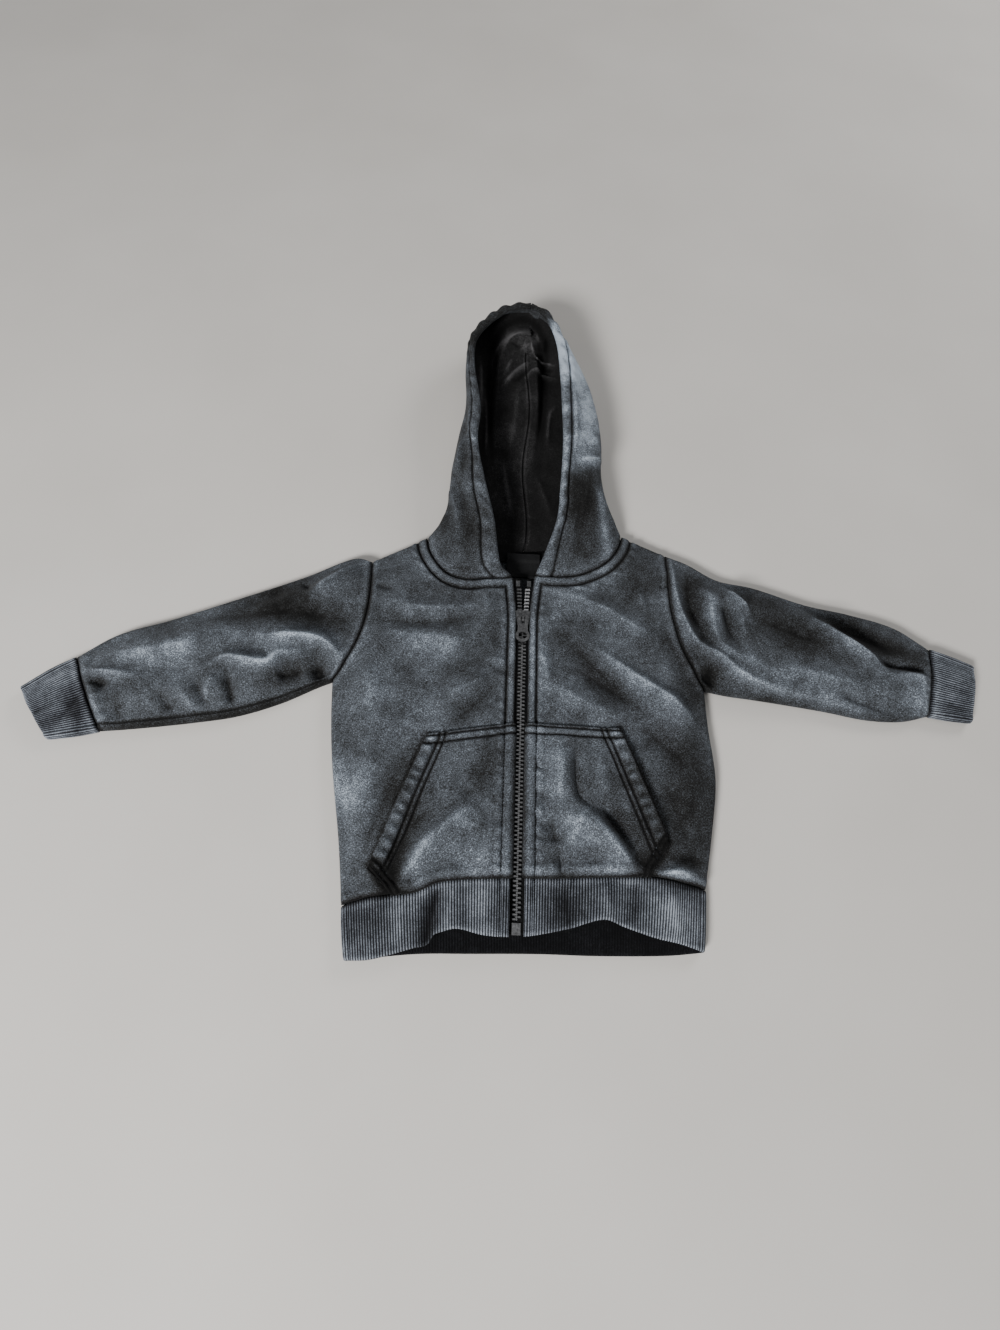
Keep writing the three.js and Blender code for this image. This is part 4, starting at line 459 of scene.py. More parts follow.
class Half:
    def __init__(self, name):
        data = HALVES[name]
        self.name = name
        self.sign = data["sign"]
        self.data = data
        self.side = Curve(data["side"])
        self.arm = Curve(data["armhole"])
        self.neck = Curve(data["neckline"])
        self.top = Curve(data["sleeve_top"])
        self.under = Curve(data["sleeve_under"])
        self.pit = self.arm.at(0.0)
        self.shoulder = self.arm.at(self.arm.length)
        self.neck_point = self.neck.at(self.neck.length)
        self.pit_out = -self.arm.tangent(0.0)
        self.shoulder_out = self.arm.tangent(self.arm.length)
        roll = np.array([0, FOLD_RADIUS * (1 - math.sqrt(0.5)), FOLD_RADIUS])
        length = self.arm.length
        self.arm_stations = np.concatenate([roll, np.array(ARM_SHARES) * length, length - roll[::-1]])
        length = self.neck.length
        self.neck_stations = np.concatenate([[0], np.array(NECK_SHARES) * length, length - roll[::-1]])
        self.rows = self.front_rows()

    def front_rows(self):
        """The two ends of each row of the front; rows count 0 to 1 up the side, 1 to 2 up the armhole"""
        v = np.linspace(0, 2, 1601)
        share = np.minimum(v, 1)
        arm = np.maximum(v - 1, 0) * self.arm.length
        first = len(self.arm_stations) - len(self.neck_stations)
        corner = self.neck.at(0.0)
        hem_y = hem_seam_y(self.sign * ZIP_EDGE) + HALF_GAP
        pit_level = self.pit[1] + PIT_ROW_RISE
        on_side = (v <= 1)[:, None]
        arm_end = self.arm.at(arm) - HALF_GAP * away(self.sign, self.arm.tangent(arm))
        a = np.where(on_side, self.side.at(share * self.side.length), arm_end)
        turn = self.arm_stations[first]
        y = np.where(v <= 1, lerp(hem_y, pit_level, share), lerp(pit_level, corner[1], np.minimum(arm / turn, 1)))
        place = np.interp(arm, self.arm_stations[first:], self.neck_stations)
        neck_end = self.neck.at(place) + HALF_GAP * away(self.sign, self.neck.tangent(place))
        zip_end = np.stack([zip_edge_x(self.sign, y), y], -1)
        b = np.where((arm < turn)[:, None], zip_end, neck_end)
        return dict(
            v=v, ax=a[:, 0], ay=a[:, 1], bx=b[:, 0], by=b[:, 1],
            pit=arm, shoulder=np.where(v <= 1, FAR, self.arm.length - arm), hem=np.where(v <= 1, 1 - share, 0),
        )

    def row(self, v, key):
        return np.interp(v, self.rows["v"], self.rows[key])

    def row_length(self, v):
        return np.hypot(self.row(v, "bx") - self.row(v, "ax"), self.row(v, "by") - self.row(v, "ay"))

    def front_plan(self, v, distance):
        ax, ay, bx, by = (self.row(v, key) for key in ("ax", "ay", "bx", "by"))
        t = distance / np.hypot(bx - ax, by - ay)
        x = lerp(ax, bx, t)
        chord = lerp(self.data["side"]["y"][0], hem_seam_y(bx), t)
        reach = smooth(1 - (1 - self.row(v, "hem")) / HEM_ROW_REACH)
        return x, lerp(ay, by, t) + (hem_seam_y(x) - chord) * reach

    def front_surface(self, v, distance, fine=True):
        """Height of the front's face, and how pale or dark it is there"""
        x, y = self.front_plan(v, distance)
        pit, shoulder = self.row(v, "pit"), self.row(v, "shoulder")
        side_sine, _ = rolled(distance)
        pit_sine, _ = rolled(pit)
        shoulder_sine, _ = rolled(shoulder)
        window = (1 - (1 - smooth(distance / LOFT_REACH)) * (1 - smooth(pit / LOFT_REACH))) * smooth(
            shoulder / LOFT_REACH
        )
        folds, crest = fold_height(x, y, body_folds)
        folds = FOLD_GAIN * folds
        z = FLAT_TOP - FOLD_RADIUS * (1 - side_sine) * (1 - pit_sine) - FOLD_RADIUS * (1 - shoulder_sine)
        z = z + window * (BODY_LOFT + folds)
        # Painted shade in fold troughs and painted highlight on crests, partly the wash's paler high points
        tone = (FOLD_SHADE_TONE * folds + CREST_HIGHLIGHT_TONE * crest) * (0.3 + 0.7 * window) + wash_and_shade_tone(x, y)
        if fine:
            z = z + window * cloth_noise(x, y)
            seam, _ = line_distance(x, y, self.arm.points[::24])
            seam = np.where(v > 1, distance, seam)
            z = z + seam_dip(seam) * (v > 0.96) + 0.7 * bell(seam - 4, 2.4) * (v > 1)
            tone = tone + seam_tone(seam) * (v > 0.96)
            hem = y - hem_seam_y(x)
            z = z + seam_dip(hem, 2.0, 3.0) + 1.2 * bell(hem - 4.5, 3)
            pocket = [(self.data["pocket"]["x"][k], self.data["pocket"]["y"][k]) for k in (0, 1, 2)]
            # Painted shadow on the front beside the pocket's edges
            tone = tone - 2.0 * bell(line_distance(x, y, pocket)[0], 3.0)
            tone = tone + seam_tone(hem)
            z = z + seam_dip(shoulder, 1, 2)
            edge = np.abs(x) - np.abs(zip_edge_x(self.sign, y))
            neck, _ = line_distance(x, y, self.neck.points[::24])
            band = np.minimum(np.where(y < self.neck.points[0, 1] + 2, np.maximum(edge, 0), FAR) / ZIP_BAND,
                              neck / NECK_BAND)
            z = z + 0.9 * smooth((1 - band) * 4) + 0.5 * bell(band - 0.5, 0.35)
            z = z - 1.5 * bell((band - 1) * ZIP_BAND, 1.1) + seam_dip(band * ZIP_BAND, 1.5, 2.0)
            gather = np.sin(2 * math.pi * (y + 0.4 * x) / 11 + 2.4 * noise(x, y, 19, 15))
            z = z + (0.6 + 0.6 * gather) * bell(band - 1.5, 0.32)
            # Dark stitch lines; paler on the raised band and on the gathers beside it: painted highlight, partly the
            # wash's paler high points
            tone = tone - 2.6 * bell((band - 1) * ZIP_BAND, 1.0) + 0.7 * bell(band - 0.45, 0.3)
            tone = tone + (0.4 + 0.3 * gather) * bell(band - 1.5, 0.3) - 1.8 * bell(neck, 1.3)
            tone = tone - 1.5 * bell(band * ZIP_BAND, 1.0)
        return np.stack([x, y, np.maximum(z, FOLD_RADIUS + HALF_GAP)], -1), tone

    def find_row(self, x, y):
        """The row and distance on the front of a place in plan"""
        low, high = np.zeros(x.shape), np.full(x.shape, 1.72)
        for _ in range(34):
            v = (low + high) / 2
            ax, bx = self.row(v, "ax"), self.row(v, "bx")
            distance = self.row_length(v) * (x - ax) / (bx - ax)
            _, found = self.front_plan(v, distance)
            low, high = np.where(found < y, v, low), np.where(found < y, high, v)
        return v, distance

    def on_front(self, x, y):
        v, distance = self.find_row(x, y)
        return self.front_surface(v, distance)


halves = {name: Half(name) for name in HALVES}


# Meshes
def grid_normals(p, ring=False):
    if ring:
        across = np.roll(p, -1, 1) - np.roll(p, 1, 1)
    else:
        across = np.gradient(p, axis=1)
    return unit(np.cross(np.gradient(p, axis=0), across))


def ways_down(p, out):
    """The ways out, made straight down where the cloth lies flat on the surface"""
    return np.where((p[..., 2] < 0.05)[..., None], np.array([0.0, 0.0, -1.0]), out)


def edge_steps(radius=1.4):
    return radius * np.array([0, 0.1, 0.35, 0.65, 1])


def band_steps(reach):
    return np.concatenate([edge_steps(), np.arange(2.0, reach, 0.62)])


def roll_steps(count=7):
    return FOLD_RADIUS * (1 - np.cos(np.linspace(0, math.pi / 2, count)))


def spread(length, count, first, last):
    """Distances over each length: close together at either end, evenly between"""
    length = np.asarray(length, float)[..., None]
    t = np.linspace(0, 1, count + 1)[1:-1]
    middle = lerp(first[-1], length - last[-1], t)
    return np.concatenate([first + 0 * length, middle, length - last[::-1]], -1)


def make(name, points, faces, tone, look):
    mesh = bpy.data.meshes.new(name)
    mesh.from_pydata((points * MM).tolist(), [], faces)
    volume = 0.0
    co = points
    for face in (np.array([f[:3] for f in faces]), np.array([(f[0], f[2], f[3]) for f in faces if len(f) == 4])):
        if len(face):
            volume += np.einsum("ij,ij->i", co[face[:, 0]], np.cross(co[face[:, 1]], co[face[:, 2]])).sum()
    if volume < 0:
        mesh.flip_normals()
    mesh.attributes.new("tone", "FLOAT", "POINT").data.foreach_set("value", np.asarray(tone, np.float32))
    mesh.polygons.foreach_set("use_smooth", np.ones(len(mesh.polygons), bool))
    mesh.materials.append(look)
    mesh.update()
    piece = bpy.data.objects.new(name, mesh)
    bpy.context.scene.collection.objects.link(piece)
    return piece


def quads(index, ring=False):
    if ring:
        index = np.concatenate([index, index[:, :1]], 1)
    a, b, c, d = index[:-1, :-1], index[:-1, 1:], index[1:, 1:], index[1:, :-1]
    return np.stack([a, b, c, d], -1).reshape(-1, 4).tolist()


def bridge(a, at_a, b, at_b):
    faces = []
    i = j = 0
    while i + 1 < len(a) or j + 1 < len(b):
        if j + 1 >= len(b) or (i + 1 < len(a) and at_a[i + 1] <= at_b[j + 1]):
            faces.append([a[i], a[i + 1], b[j]])
            i += 1
        else:
            faces.append([a[i], b[j + 1], b[j]])
            j += 1
    return faces


def wall(name, outer, inner, tone, look, ring=False, inner_tone=-0.3, step=(3, 3)):
    """A closed shell from two grids: the inner one is thinned out, and its rims are joined to the outer's"""
    rows = sorted({*range(0, outer.shape[0], step[0]), outer.shape[0] - 1})
    cols = sorted({*range(0, outer.shape[1], step[1])} | (set() if ring else {outer.shape[1] - 1}))
    thin = inner[np.ix_(rows, cols)]
    o = np.arange(outer.shape[0] * outer.shape[1]).reshape(outer.shape[:2])
    n = o.size + np.arange(thin.shape[0] * thin.shape[1]).reshape(thin.shape[:2])
    faces = quads(o, ring) + [f[::-1] for f in quads(n, ring)]

    def rim(a, at_a, b, at_b, flip):
        if ring:
            a, b = [*a, a[0]], [*b, b[0]]
            at_a, at_b = [*at_a, outer.shape[1]], [*at_b, outer.shape[1]]
        found = bridge(a, at_a, b, at_b)
        faces.extend([f[::-1] for f in found] if flip else found)

    every = list(range(outer.shape[1]))
    rim(o[0].tolist(), every, n[0].tolist(), cols, True)
    rim(o[-1].tolist(), every, n[-1].tolist(), cols, False)
    if not ring:
        every = list(range(outer.shape[0]))
        for k, flip in ((0, False), (-1, True)):
            found = bridge(o[:, k].tolist(), every, n[:, k].tolist(), rows)
            faces.extend([f[::-1] for f in found] if flip else found)
    points = np.concatenate([outer.reshape(-1, 3), thin.reshape(-1, 3)])
    tones = np.concatenate([tone.reshape(-1), np.full(thin.shape[0] * thin.shape[1], inner_tone)])
    return make(name, points, faces, tones, look)


# Materials
def shader(name):
    look = bpy.data.materials.new(name)
    look.use_nodes = True
    tree = look.node_tree
    return look, tree, tree.nodes["Principled BSDF"]


def node(tree, kind, inputs=(), **settings):
    made = tree.nodes.new(kind)
    for key, value in settings.items():
        setattr(made, key, value)
    for key, value in dict(inputs).items():
        if isinstance(value, bpy.types.NodeSocket):
            tree.links.new(value, made.inputs[key])
        else:
            made.inputs[key].default_value = value
    return made


def maths(tree, operation, a, b=0.0, c=0.0):
    return node(tree, "ShaderNodeMath", {0: a, 1: b, 2: c}, operation=operation).outputs[0]


def ramp(tree, value, *stops):
    made = node(tree, "ShaderNodeValToRGB", {0: value})
    elements = made.color_ramp.elements
    while len(elements) < len(stops):
        elements.new(0.5)
    for element, (at, colour) in zip(elements, stops):
        element.position = at
        element.color = (*colour, 1)
    return made.outputs["Color"]


def cloth_look(name, stops, tone_gain, mottle, speckle, grain, bump, knit=1250.0, roughness=0.96, sheen=0.04,
               shine=0.12, level=0.5):
    look, tree, bsdf = shader(name)
    place = node(tree, "ShaderNodeTexCoord").outputs["Object"]

    def texture(scale, detail, rough=0.6):
        made = node(tree, "ShaderNodeTexNoise", {"Vector": place, "Scale": scale, "Detail": detail,
                                                 "Roughness": rough})
        return maths(tree, "SUBTRACT", made.outputs[0], 0.5)

    tone = node(tree, "ShaderNodeAttribute", attribute_name="tone").outputs["Fac"]
    fine = texture(knit, 2.0)
    value = maths(tree, "MULTIPLY_ADD", tone, tone_gain, level)
    for source, gain in (
        (texture(26.0, 5.0), mottle), (texture(170.0, 4.0, 0.7), speckle), (fine, grain),
    ):
        value = maths(tree, "MULTIPLY_ADD", source, gain, value)
    colour = ramp(tree, value, *stops)
    tree.links.new(colour, bsdf.inputs["Base Color"])
    height = maths(tree, "MULTIPLY_ADD", texture(420.0, 3.0), 0.7, fine)
    raised = node(tree, "ShaderNodeBump", {"Height": height, "Strength": bump, "Distance": 0.0006})
    tree.links.new(raised.outputs[0], bsdf.inputs["Normal"])
    bsdf.inputs["Roughness"].default_value = roughness
    bsdf.inputs["Specular IOR Level"].default_value = shine
    bsdf.inputs["Sheen Weight"].default_value = sheen
    bsdf.inputs["Sheen Roughness"].default_value = 0.5
    return look


FLEECE_STOPS = (
    (0.0, (0.0032, 0.0031, 0.0030)), (0.25, (0.016, 0.0157, 0.0152)), (0.5, (0.053, 0.058, 0.065)),
    (0.72, (0.120, 0.135, 0.156)), (1.0, (0.430, 0.490, 0.560)),
)
RIB_STOPS = (
    (0.0, (0.003, 0.003, 0.0035)), (0.3, (0.014, 0.0145, 0.017)), (0.55, (0.058, 0.063, 0.073)),
    (0.8, (0.165, 0.182, 0.209)), (1.0, (0.330, 0.360, 0.405)),
)
JERSEY_STOPS = (
    (0.0, (0.0016, 0.0016, 0.0016)), (0.4, (0.0068, 0.0066, 0.0066)), (0.62, (0.0160, 0.0156, 0.0158)),
    (1.0, (0.085, 0.083, 0.085)),
)
TAPE_STOPS = (
    (0.0, (0.001, 0.001, 0.001)), (0.5, (0.004, 0.004, 0.0042)), (1.0, (0.022, 0.022, 0.023)),
)
fleece = cloth_look("fleece", FLEECE_STOPS, 0.15, 0.5, 0.36, 1.3, 0.8, knit=1150.0, level=0.482)
ribbing = cloth_look("ribbing", RIB_STOPS, 0.15, 0.4, 0.4, 0.8, 0.5)
jersey = cloth_look("jersey", JERSEY_STOPS, 0.14, 0.4, 0.3, 0.7, 0.5, roughness=1.0, sheen=0.01, shine=0.1)
tape = cloth_look("tape", TAPE_STOPS, 0.15, 0.1, 0.2, 0.4, 0.5, roughness=0.8, sheen=0.0)
thread = cloth_look("thread", TAPE_STOPS, 0.15, 0.1, 0.2, 0.3, 0.3, knit=3000.0, roughness=0.6, sheen=0.0)


def metal_look(name, base, shine, roughness):
    look, tree, bsdf = shader(name)
    place = node(tree, "ShaderNodeTexCoord").outputs["Object"]
    worn = node(tree, "ShaderNodeTexNoise", {"Vector": place, "Scale": 600.0, "Detail": 4.0}).outputs[0]
    tone = node(tree, "ShaderNodeAttribute", attribute_name="tone").outputs["Fac"]
    value = maths(tree, "ADD", worn, tone)
    colour = ramp(tree, value, (0.3, base), (0.7, tuple(2.4 * c for c in base)), (1.0, shine))
    tree.links.new(colour, bsdf.inputs["Base Color"])
    rough = maths(tree, "MULTIPLY_ADD", worn, 0.25, roughness)
    tree.links.new(rough, bsdf.inputs["Roughness"])
    raised = node(tree, "ShaderNodeBump", {"Height": worn, "Strength": 0.25, "Distance": 0.0002})
    tree.links.new(raised.outputs[0], bsdf.inputs["Normal"])
    bsdf.inputs["Metallic"].default_value = 0.9
    return look


chain_metal = metal_look("chain_metal", (0.12, 0.12, 0.122), (0.8, 0.8, 0.81), 0.18)
gunmetal = metal_look("gunmetal", (0.11, 0.11, 0.112), (0.6, 0.6, 0.6), 0.1)
pieces = {}


def dress(piece, body, slot, *nodes):
    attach(piece, body)
    if nodes:
        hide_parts(*nodes)
    pieces[piece.name] = piece
    return piece


# Fronts
for name, half in halves.items():
    armed = half.arm.length
    up_side = spread(half.side.length, 158, edge_steps(), np.array([0.0])) / half.side.length
    up_arm = spread(armed, 110, roll_steps(), roll_steps()) / armed
    v = np.concatenate([up_side, 1 + up_arm[1:]])[:, None]
    distance = spread(half.row_length(v[:, 0]), 126, roll_steps(), band_steps(10))
    face, tone = half.front_surface(v + 0 * distance, distance)
    out = half.sign * grid_normals(face)
    if out[40, 60, 2] < 0:
        out = -out
    piece = wall(f"front_{name}_cloth", face, face - out * FLEECE, tone, fleece)
    dress(piece, "garment", "fleece", f"front_{name}")


# Pockets
for name, half in halves.items():
    sign = half.sign
    outline = half.data["pocket"]
    slant = math.hypot(outline["x"][1] - outline["x"][0], outline["y"][1] - outline["y"][0])
    short = math.hypot(outline["x"][2] - outline["x"][1], outline["y"][2] - outline["y"][1])
    down = np.concatenate([band_steps(11), np.linspace(11, slant, 100)[1:], slant + np.linspace(0, short, 30)[1:]])
    stops = [0, slant, slant + short]
    outer_x, outer_y = (np.interp(down, stops, outline[k]) for k in ("x", "y"))
    share = down / (slant + short)
    hem_at = hem_seam_y(sign * ZIP_EDGE) + HALF_GAP
    zip_y = lerp(half.data["pocket_top"], hem_at, share)
    zip_x = np.full(share.shape, sign * (ZIP_EDGE + 0.05))
    length = np.hypot(outer_x - zip_x, outer_y - zip_y)
    across = spread(length, 78, edge_steps(1.0), band_steps(18)) / length[:, None]
    x = lerp(zip_x[:, None], outer_x[:, None], across)
    y = lerp(zip_y[:, None], outer_y[:, None], across)
    bend = smooth((share[:, None] - 0.45) / 0.55)
    y = y + (hem_seam_y(x) + HALF_GAP - (hem_at + (outer_y[-1] - hem_at) * across)) * bend
    face, tone = half.on_front(x, y)
    normals = grid_normals(face)
    normals = normals * np.sign(normals[30, 30, 2])
    slant_line = [(outline["x"][k], outline["y"][k]) for k in (0, 1)]
    short_line = [(outline["x"][k], outline["y"][k]) for k in (1, 2)]
    top_line = [(zip_x[0], zip_y[0]), slant_line[0]]
    from_slant, along = line_distance(x, y, slant_line)
    from_short, _ = line_distance(x, y, short_line)
    from_top, along_top = line_distance(x, y, top_line)
    rise = 0.3 + FLEECE + 0 * x
    rise += 0.9 * smooth((10.5 - from_slant) / 3) + 2.0 * bell(from_slant, 9) * smooth(along / 12) * smooth(
        (slant - along) / 12)
    pucker = np.sin(2 * math.pi * along / 9.6 + 1.7 * noise(along, 0 * along, 14, 5))
    rise += 0.75 * pucker * bell(from_slant - 5.5, 3.6)
    rise += 0.6 * np.sin(2 * math.pi * along_top / 11.0) * bell(from_top - 13.5, 3.0)
    # Paler on the puckers and along the lifted slant edge: painted highlight, partly the wash's paler high points; the
    # last term takes back part of the painted shadow the front lays along the pocket's edges
    tone = tone + 0.8 * pucker * bell(from_slant - 5.5, 3.6) + 0.5 * bell(from_slant - 5, 3) + 0.4 * bell(
        from_top - 5.5, 2) + 1.3 * bell(line_distance(x, y, slant_line + short_line[1:])[0], 3.0)
    for d in (from_slant - 10.5, from_slant - 14.6, from_top - 2.4, from_top - 8.6, from_short - 2.6, from_short - 6.6):
        rise -= 1.2 * bell(d, 1.0)
        tone = tone - 2.6 * bell(d, 1.0)
    corner = np.minimum(np.hypot(x - outline["x"][1], y - outline["y"][1]), from_short + 4)
    # Painted shade in the pocket's lower corner, along its short edge and under the hem seam
    tone = tone - 1.7 * bell(corner, 6.5) - 1.5 * bell(from_short - 4, 6) - 1.6 * bell(y - hem_seam_y(x), 1.6)
    # Dark line at each edge: the seam, and painted shadow under the lifted edge; paler just inside it
    for d in (from_slant, from_top, from_short):
        rise += seam_dip(d, 1.6, 2.0)
        tone = tone + 0.3 * bell(d - 1.6, 1.2) - 2.2 * bell(d, 0.7)
    outer = face + normals * rise[..., None]
    inner = face + normals * np.maximum(rise - FLEECE, SEAM_GAP)[..., None]
    piece = wall(f"pocket_{name}_cloth", outer, inner, tone, fleece)
    dress(piece, "garment", "fleece", f"pocket_{name}")


# Sleeves
SLEEVE_LOFT = table("at loft", (0, 6.5), (0.2, 9), (0.5, 10.5), (0.82, 8.5), (0.94, 7), (1, 4))
sleeve_loft = column(SLEEVE_LOFT, "at", "loft")
# How far the underarm seam has rolled up into view
UNDERARM_SEAM = {"right": 1.0, "left": 0.0}


def refit(distance, start, end):
    share = (distance - FOLD_RADIUS) / (start - 2 * FOLD_RADIUS)
    middle = FOLD_RADIUS + share * (end - 2 * FOLD_RADIUS)
    low = distance <= FOLD_RADIUS
    high = distance >= start - FOLD_RADIUS
    return np.where(low, distance, np.where(high, end - (start - distance), middle))


def sleeve_surface(half, s, station, layer):
    low, high = half.under.at(s * half.under.length), half.top.at(s * half.top.length)
    length = np.linalg.norm(high - low, axis=-1)
    distance = refit(station, half.arm.length, length)
    plan = lerp(low, high, (distance / length)[..., None])
    chord = lerp(half.pit, half.shoulder, (station / half.arm.length)[..., None])
    plan = plan + (half.arm.at(station) - chord) * (1 - smooth(s / 0.4))[..., None]
    along = s * lerp(half.under.length, half.top.length, station / half.arm.length)
    plan = plan + HALF_GAP * away(half.sign, half.arm.tangent(station)) * bell(along, 2)[..., None]
    x, y = plan[..., 0], plan[..., 1]
    drop = FOLD_RADIUS * (2 - rolled(distance)[0] - rolled(length - distance)[0])
    if layer < 0:
        return np.stack([x, y, drop], -1), np.full(x.shape, -0.2)
    window = smooth(distance / LOFT_REACH) * smooth((length - distance) / LOFT_REACH)
    folds, crest = fold_height(x, y, body_folds)
    folds = FOLD_GAIN * folds * smooth((1 - s) / 0.06)
    free = smooth(distance / 14) * smooth((length - distance) / 14)
    z = FLAT_TOP - drop + window * (sleeve_loft(s) + cloth_noise(x, y)) + free * folds
    z = np.maximum(z, FLAT_TOP - drop - 3.2 * free)
    to_cuff = (1 - s) * lerp(half.under.length, half.top.length, station / half.arm.length)
    gather = 0.5 * np.sin(2 * math.pi * station / 15.0 + 2.5 * noise(station, 0 * station, 17, 9))
    inside = smooth(distance / 7) * smooth((length - distance) / 7)
    z = z + inside * (seam_dip(along) + 0.8 * bell(along - 4, 2.5))
    z = z + inside * (seam_dip(to_cuff, 1.9, 3.2) + (1.7 + gather) * bell(to_cuff - 6, 5))
    under = bell(distance - 5.0, 1.2) * smooth(s / 0.08) * UNDERARM_SEAM[half.name]
    z = z - 1.3 * under
    # Painted shade in fold troughs and painted highlight on crests, partly the wash's paler high points
    tone = (FOLD_SHADE_TONE * folds + CREST_HIGHLIGHT_TONE * crest) * (0.35 + 0.65 * free) + seam_tone(along) + seam_tone(to_cuff)
    # Dark line at the underarm seam, partly painted shade, and painted shade along the sleeve's lower edge
    tone = tone - 2.4 * under + wash_and_shade_tone(x, y) - 0.7 * bell(distance, 3.5)
    # Painted shade on the strip under the rolled-up underarm seam
    tone = tone - 1.5 * bell(distance, 4) * UNDERARM_SEAM[half.name]
    return np.stack([x, y, z], -1), tone


def sleeve_ring(half, s, count, under_count):
    armed = half.arm.length
    over = spread(armed, count, roll_steps(), roll_steps())
    beneath = spread(armed, under_count, roll_steps(4), roll_steps(4))[1:-1][::-1]
    ones = np.ones((len(s), 1))
    top, top_tone = sleeve_surface(half, s[:, None] * np.ones((1, len(over))), ones * over, 1)
    low, low_tone = sleeve_surface(half, s[:, None] * np.ones((1, len(beneath))), ones * beneath, -1)
    return np.concatenate([top, low], 1), np.concatenate([top_tone, low_tone], 1)


def ring_normals(ring):
    out = grid_normals(ring, True)
    middle = ring.mean(1, keepdims=True)
    return out if (out * (ring - middle)).sum() > 0 else -out


rings = {}
for name, half in halves.items():
    reach = (half.top.length + half.under.length) / 2
    s = spread(reach, 200, edge_steps(2.0), edge_steps(2.6)) / reach
    ring, tone = sleeve_ring(half, s, 118, 20)
    out = ring_normals(ring)
    rings[name] = ring[-1], out[-1]
    piece = wall(f"sleeve_{name}_cloth", ring, ring - out * FLEECE, tone, fleece, ring=True)
    dress(piece, "garment", "fleece", f"sleeve_{name}")


# Rib knit, from a seam line to a folded edge
def ribbed(name, seam, edge, out_seam, out_edge, rows, look, ring, bulge, both):
    """both says, at each place along the seam, how far the ribs show on the inner face too"""
    steps = np.linalg.norm(np.diff(seam, axis=0), axis=1)
    at = np.concatenate([[0], np.cumsum(steps)])
    total = at[-1] + (np.linalg.norm(seam[0] - seam[-1]) if ring else 0)
    ribs = round(total / RIB_PITCH)
    dense = np.linspace(0, total, ribs * 5 + 1)
    if ring:
        seam, edge, out_seam, out_edge, both = (np.concatenate([v, v[:1]]) for v in (seam, edge, out_seam,
                                                                                    out_edge, both))
        at = np.append(at, total)
        dense = dense[:-1]

    def read(values):
        return np.stack([np.interp(dense, at, values[:, k]) for k in range(3)], -1)

    a, b, na, nb = read(seam), read(edge), read(out_seam), read(out_edge)
    share = np.interp(dense, at, both)
    phase = dense / total * ribs
    crest = np.abs(np.cos(math.pi * phase)) ** 0.8
    t = spread(1.0, rows, edge_steps(2.0) / 42, edge_steps(1.4) / 42)[:, None]
    length = np.linalg.norm(b - a, axis=1)[None]
    from_seam, from_edge = t * length, (1 - t) * length
    wander = 0.35 * noise(dense[None] + 0 * t, t * 40, 19, 11)
    base = lerp(a[None], b[None], t[..., None])
    out = unit(lerp(na[None], nb[None], t[..., None]))
    round_edge = 1.3 - np.sqrt(np.maximum(1.3**2 - np.clip(1.3 - from_edge, 0, 1.3) ** 2, 0))
    lift = bulge * np.sin(math.pi * t) ** 0.7 + RIB_DEPTH * (crest[None] - 0.5) + wander
    lift = lift + seam_dip(from_seam, 1.4, 2.4) - round_edge
    folds, ridge = fold_height(base[..., 0], base[..., 1], rib_folds)
    upper = smooth(2 * out[..., 2] - 0.5) * smooth(4 * t)
    lift = lift + folds * upper
    outer = base + out * lift[..., None]
    outer[..., 2] = np.maximum(outer[..., 2], 0)
    depth = RIBBING - bulge * np.sin(math.pi * t) ** 0.7 - round_edge + RIB_DEPTH * crest[None] * share[None]
    inner = base - out * (depth - folds * upper)[..., None]
    # Painted shade in the rib valleys and on fold troughs, painted highlight on rib crests and fold ridges
    tone = RIB_SHADE_TONE * (crest[None] - 0.7) + 0.9 * bell(from_edge - 1, 1.4) + 1.3 * seam_tone(from_seam)
    tone = tone + (0.25 * folds + 0.8 * ridge) * upper
    tone = tone + 0.6 * noise(dense[None] + 0 * t, t * 40, 26, 12) + wash_and_shade_tone(outer[..., 0], outer[..., 1])
    ribbed_inside = np.any(share > 0.5)
    # The inner face is painted in deep shade, as it lies in shadow where it shows
    piece = wall(name, outer, inner, tone, look, ring=ring, inner_tone=-3.1,
                 step=(2, 1) if ribbed_inside else (2, 3))
    return piece


for name, half in halves.items():
    last, out = rings[name]
    low, high = half.under.at(half.under.length), half.top.at(half.top.length)
    across = high - low
    seam_length = np.linalg.norm(across)
    end_low, end_high = np.array(half.data["cuff_under"]), np.array(half.data["cuff_top"])
    along = unit((end_high - high) + (end_low - low))
    distance = (last[:, :2] - low) @ across / seam_length
    end_length = np.linalg.norm(end_high - end_low)
    edge_plan = lerp(end_low, end_high, (refit(distance, seam_length, end_length) / end_length)[:, None])
    z = np.where(last[:, 2] > FLAT_TOP, FLAT_TOP + (last[:, 2] - FLAT_TOP) * 0.9, last[:, 2])
    seam = last.copy()
    seam[:, :2] += along * SEAM_GAP
    seam[:, 2] = np.where(seam[:, 2] > 6, seam[:, 2] + 1.2, seam[:, 2])
    edge = np.column_stack([edge_plan, z])
    flat_out = out.copy()
    flat_out[:, :2] -= (flat_out[:, :2] @ along)[:, None] * along
    flat_out = unit(flat_out)
    piece = ribbed(f"cuff_{name}_knit", seam, edge, flat_out, flat_out, 22, ribbing, True, 0.6,
                   np.zeros(len(seam)))
    dress(piece, "garment", "ribbing", f"cuff_{name}")


# The back, and the hem band round fronts and back
def back_neck(share):
    p = lerp(halves["right"].neck_point, halves["left"].neck_point, np.asarray(share)[..., None])
    return p - np.stack([0 * share, BACK_NECK_DIP * np.sin(math.pi * share)], -1)


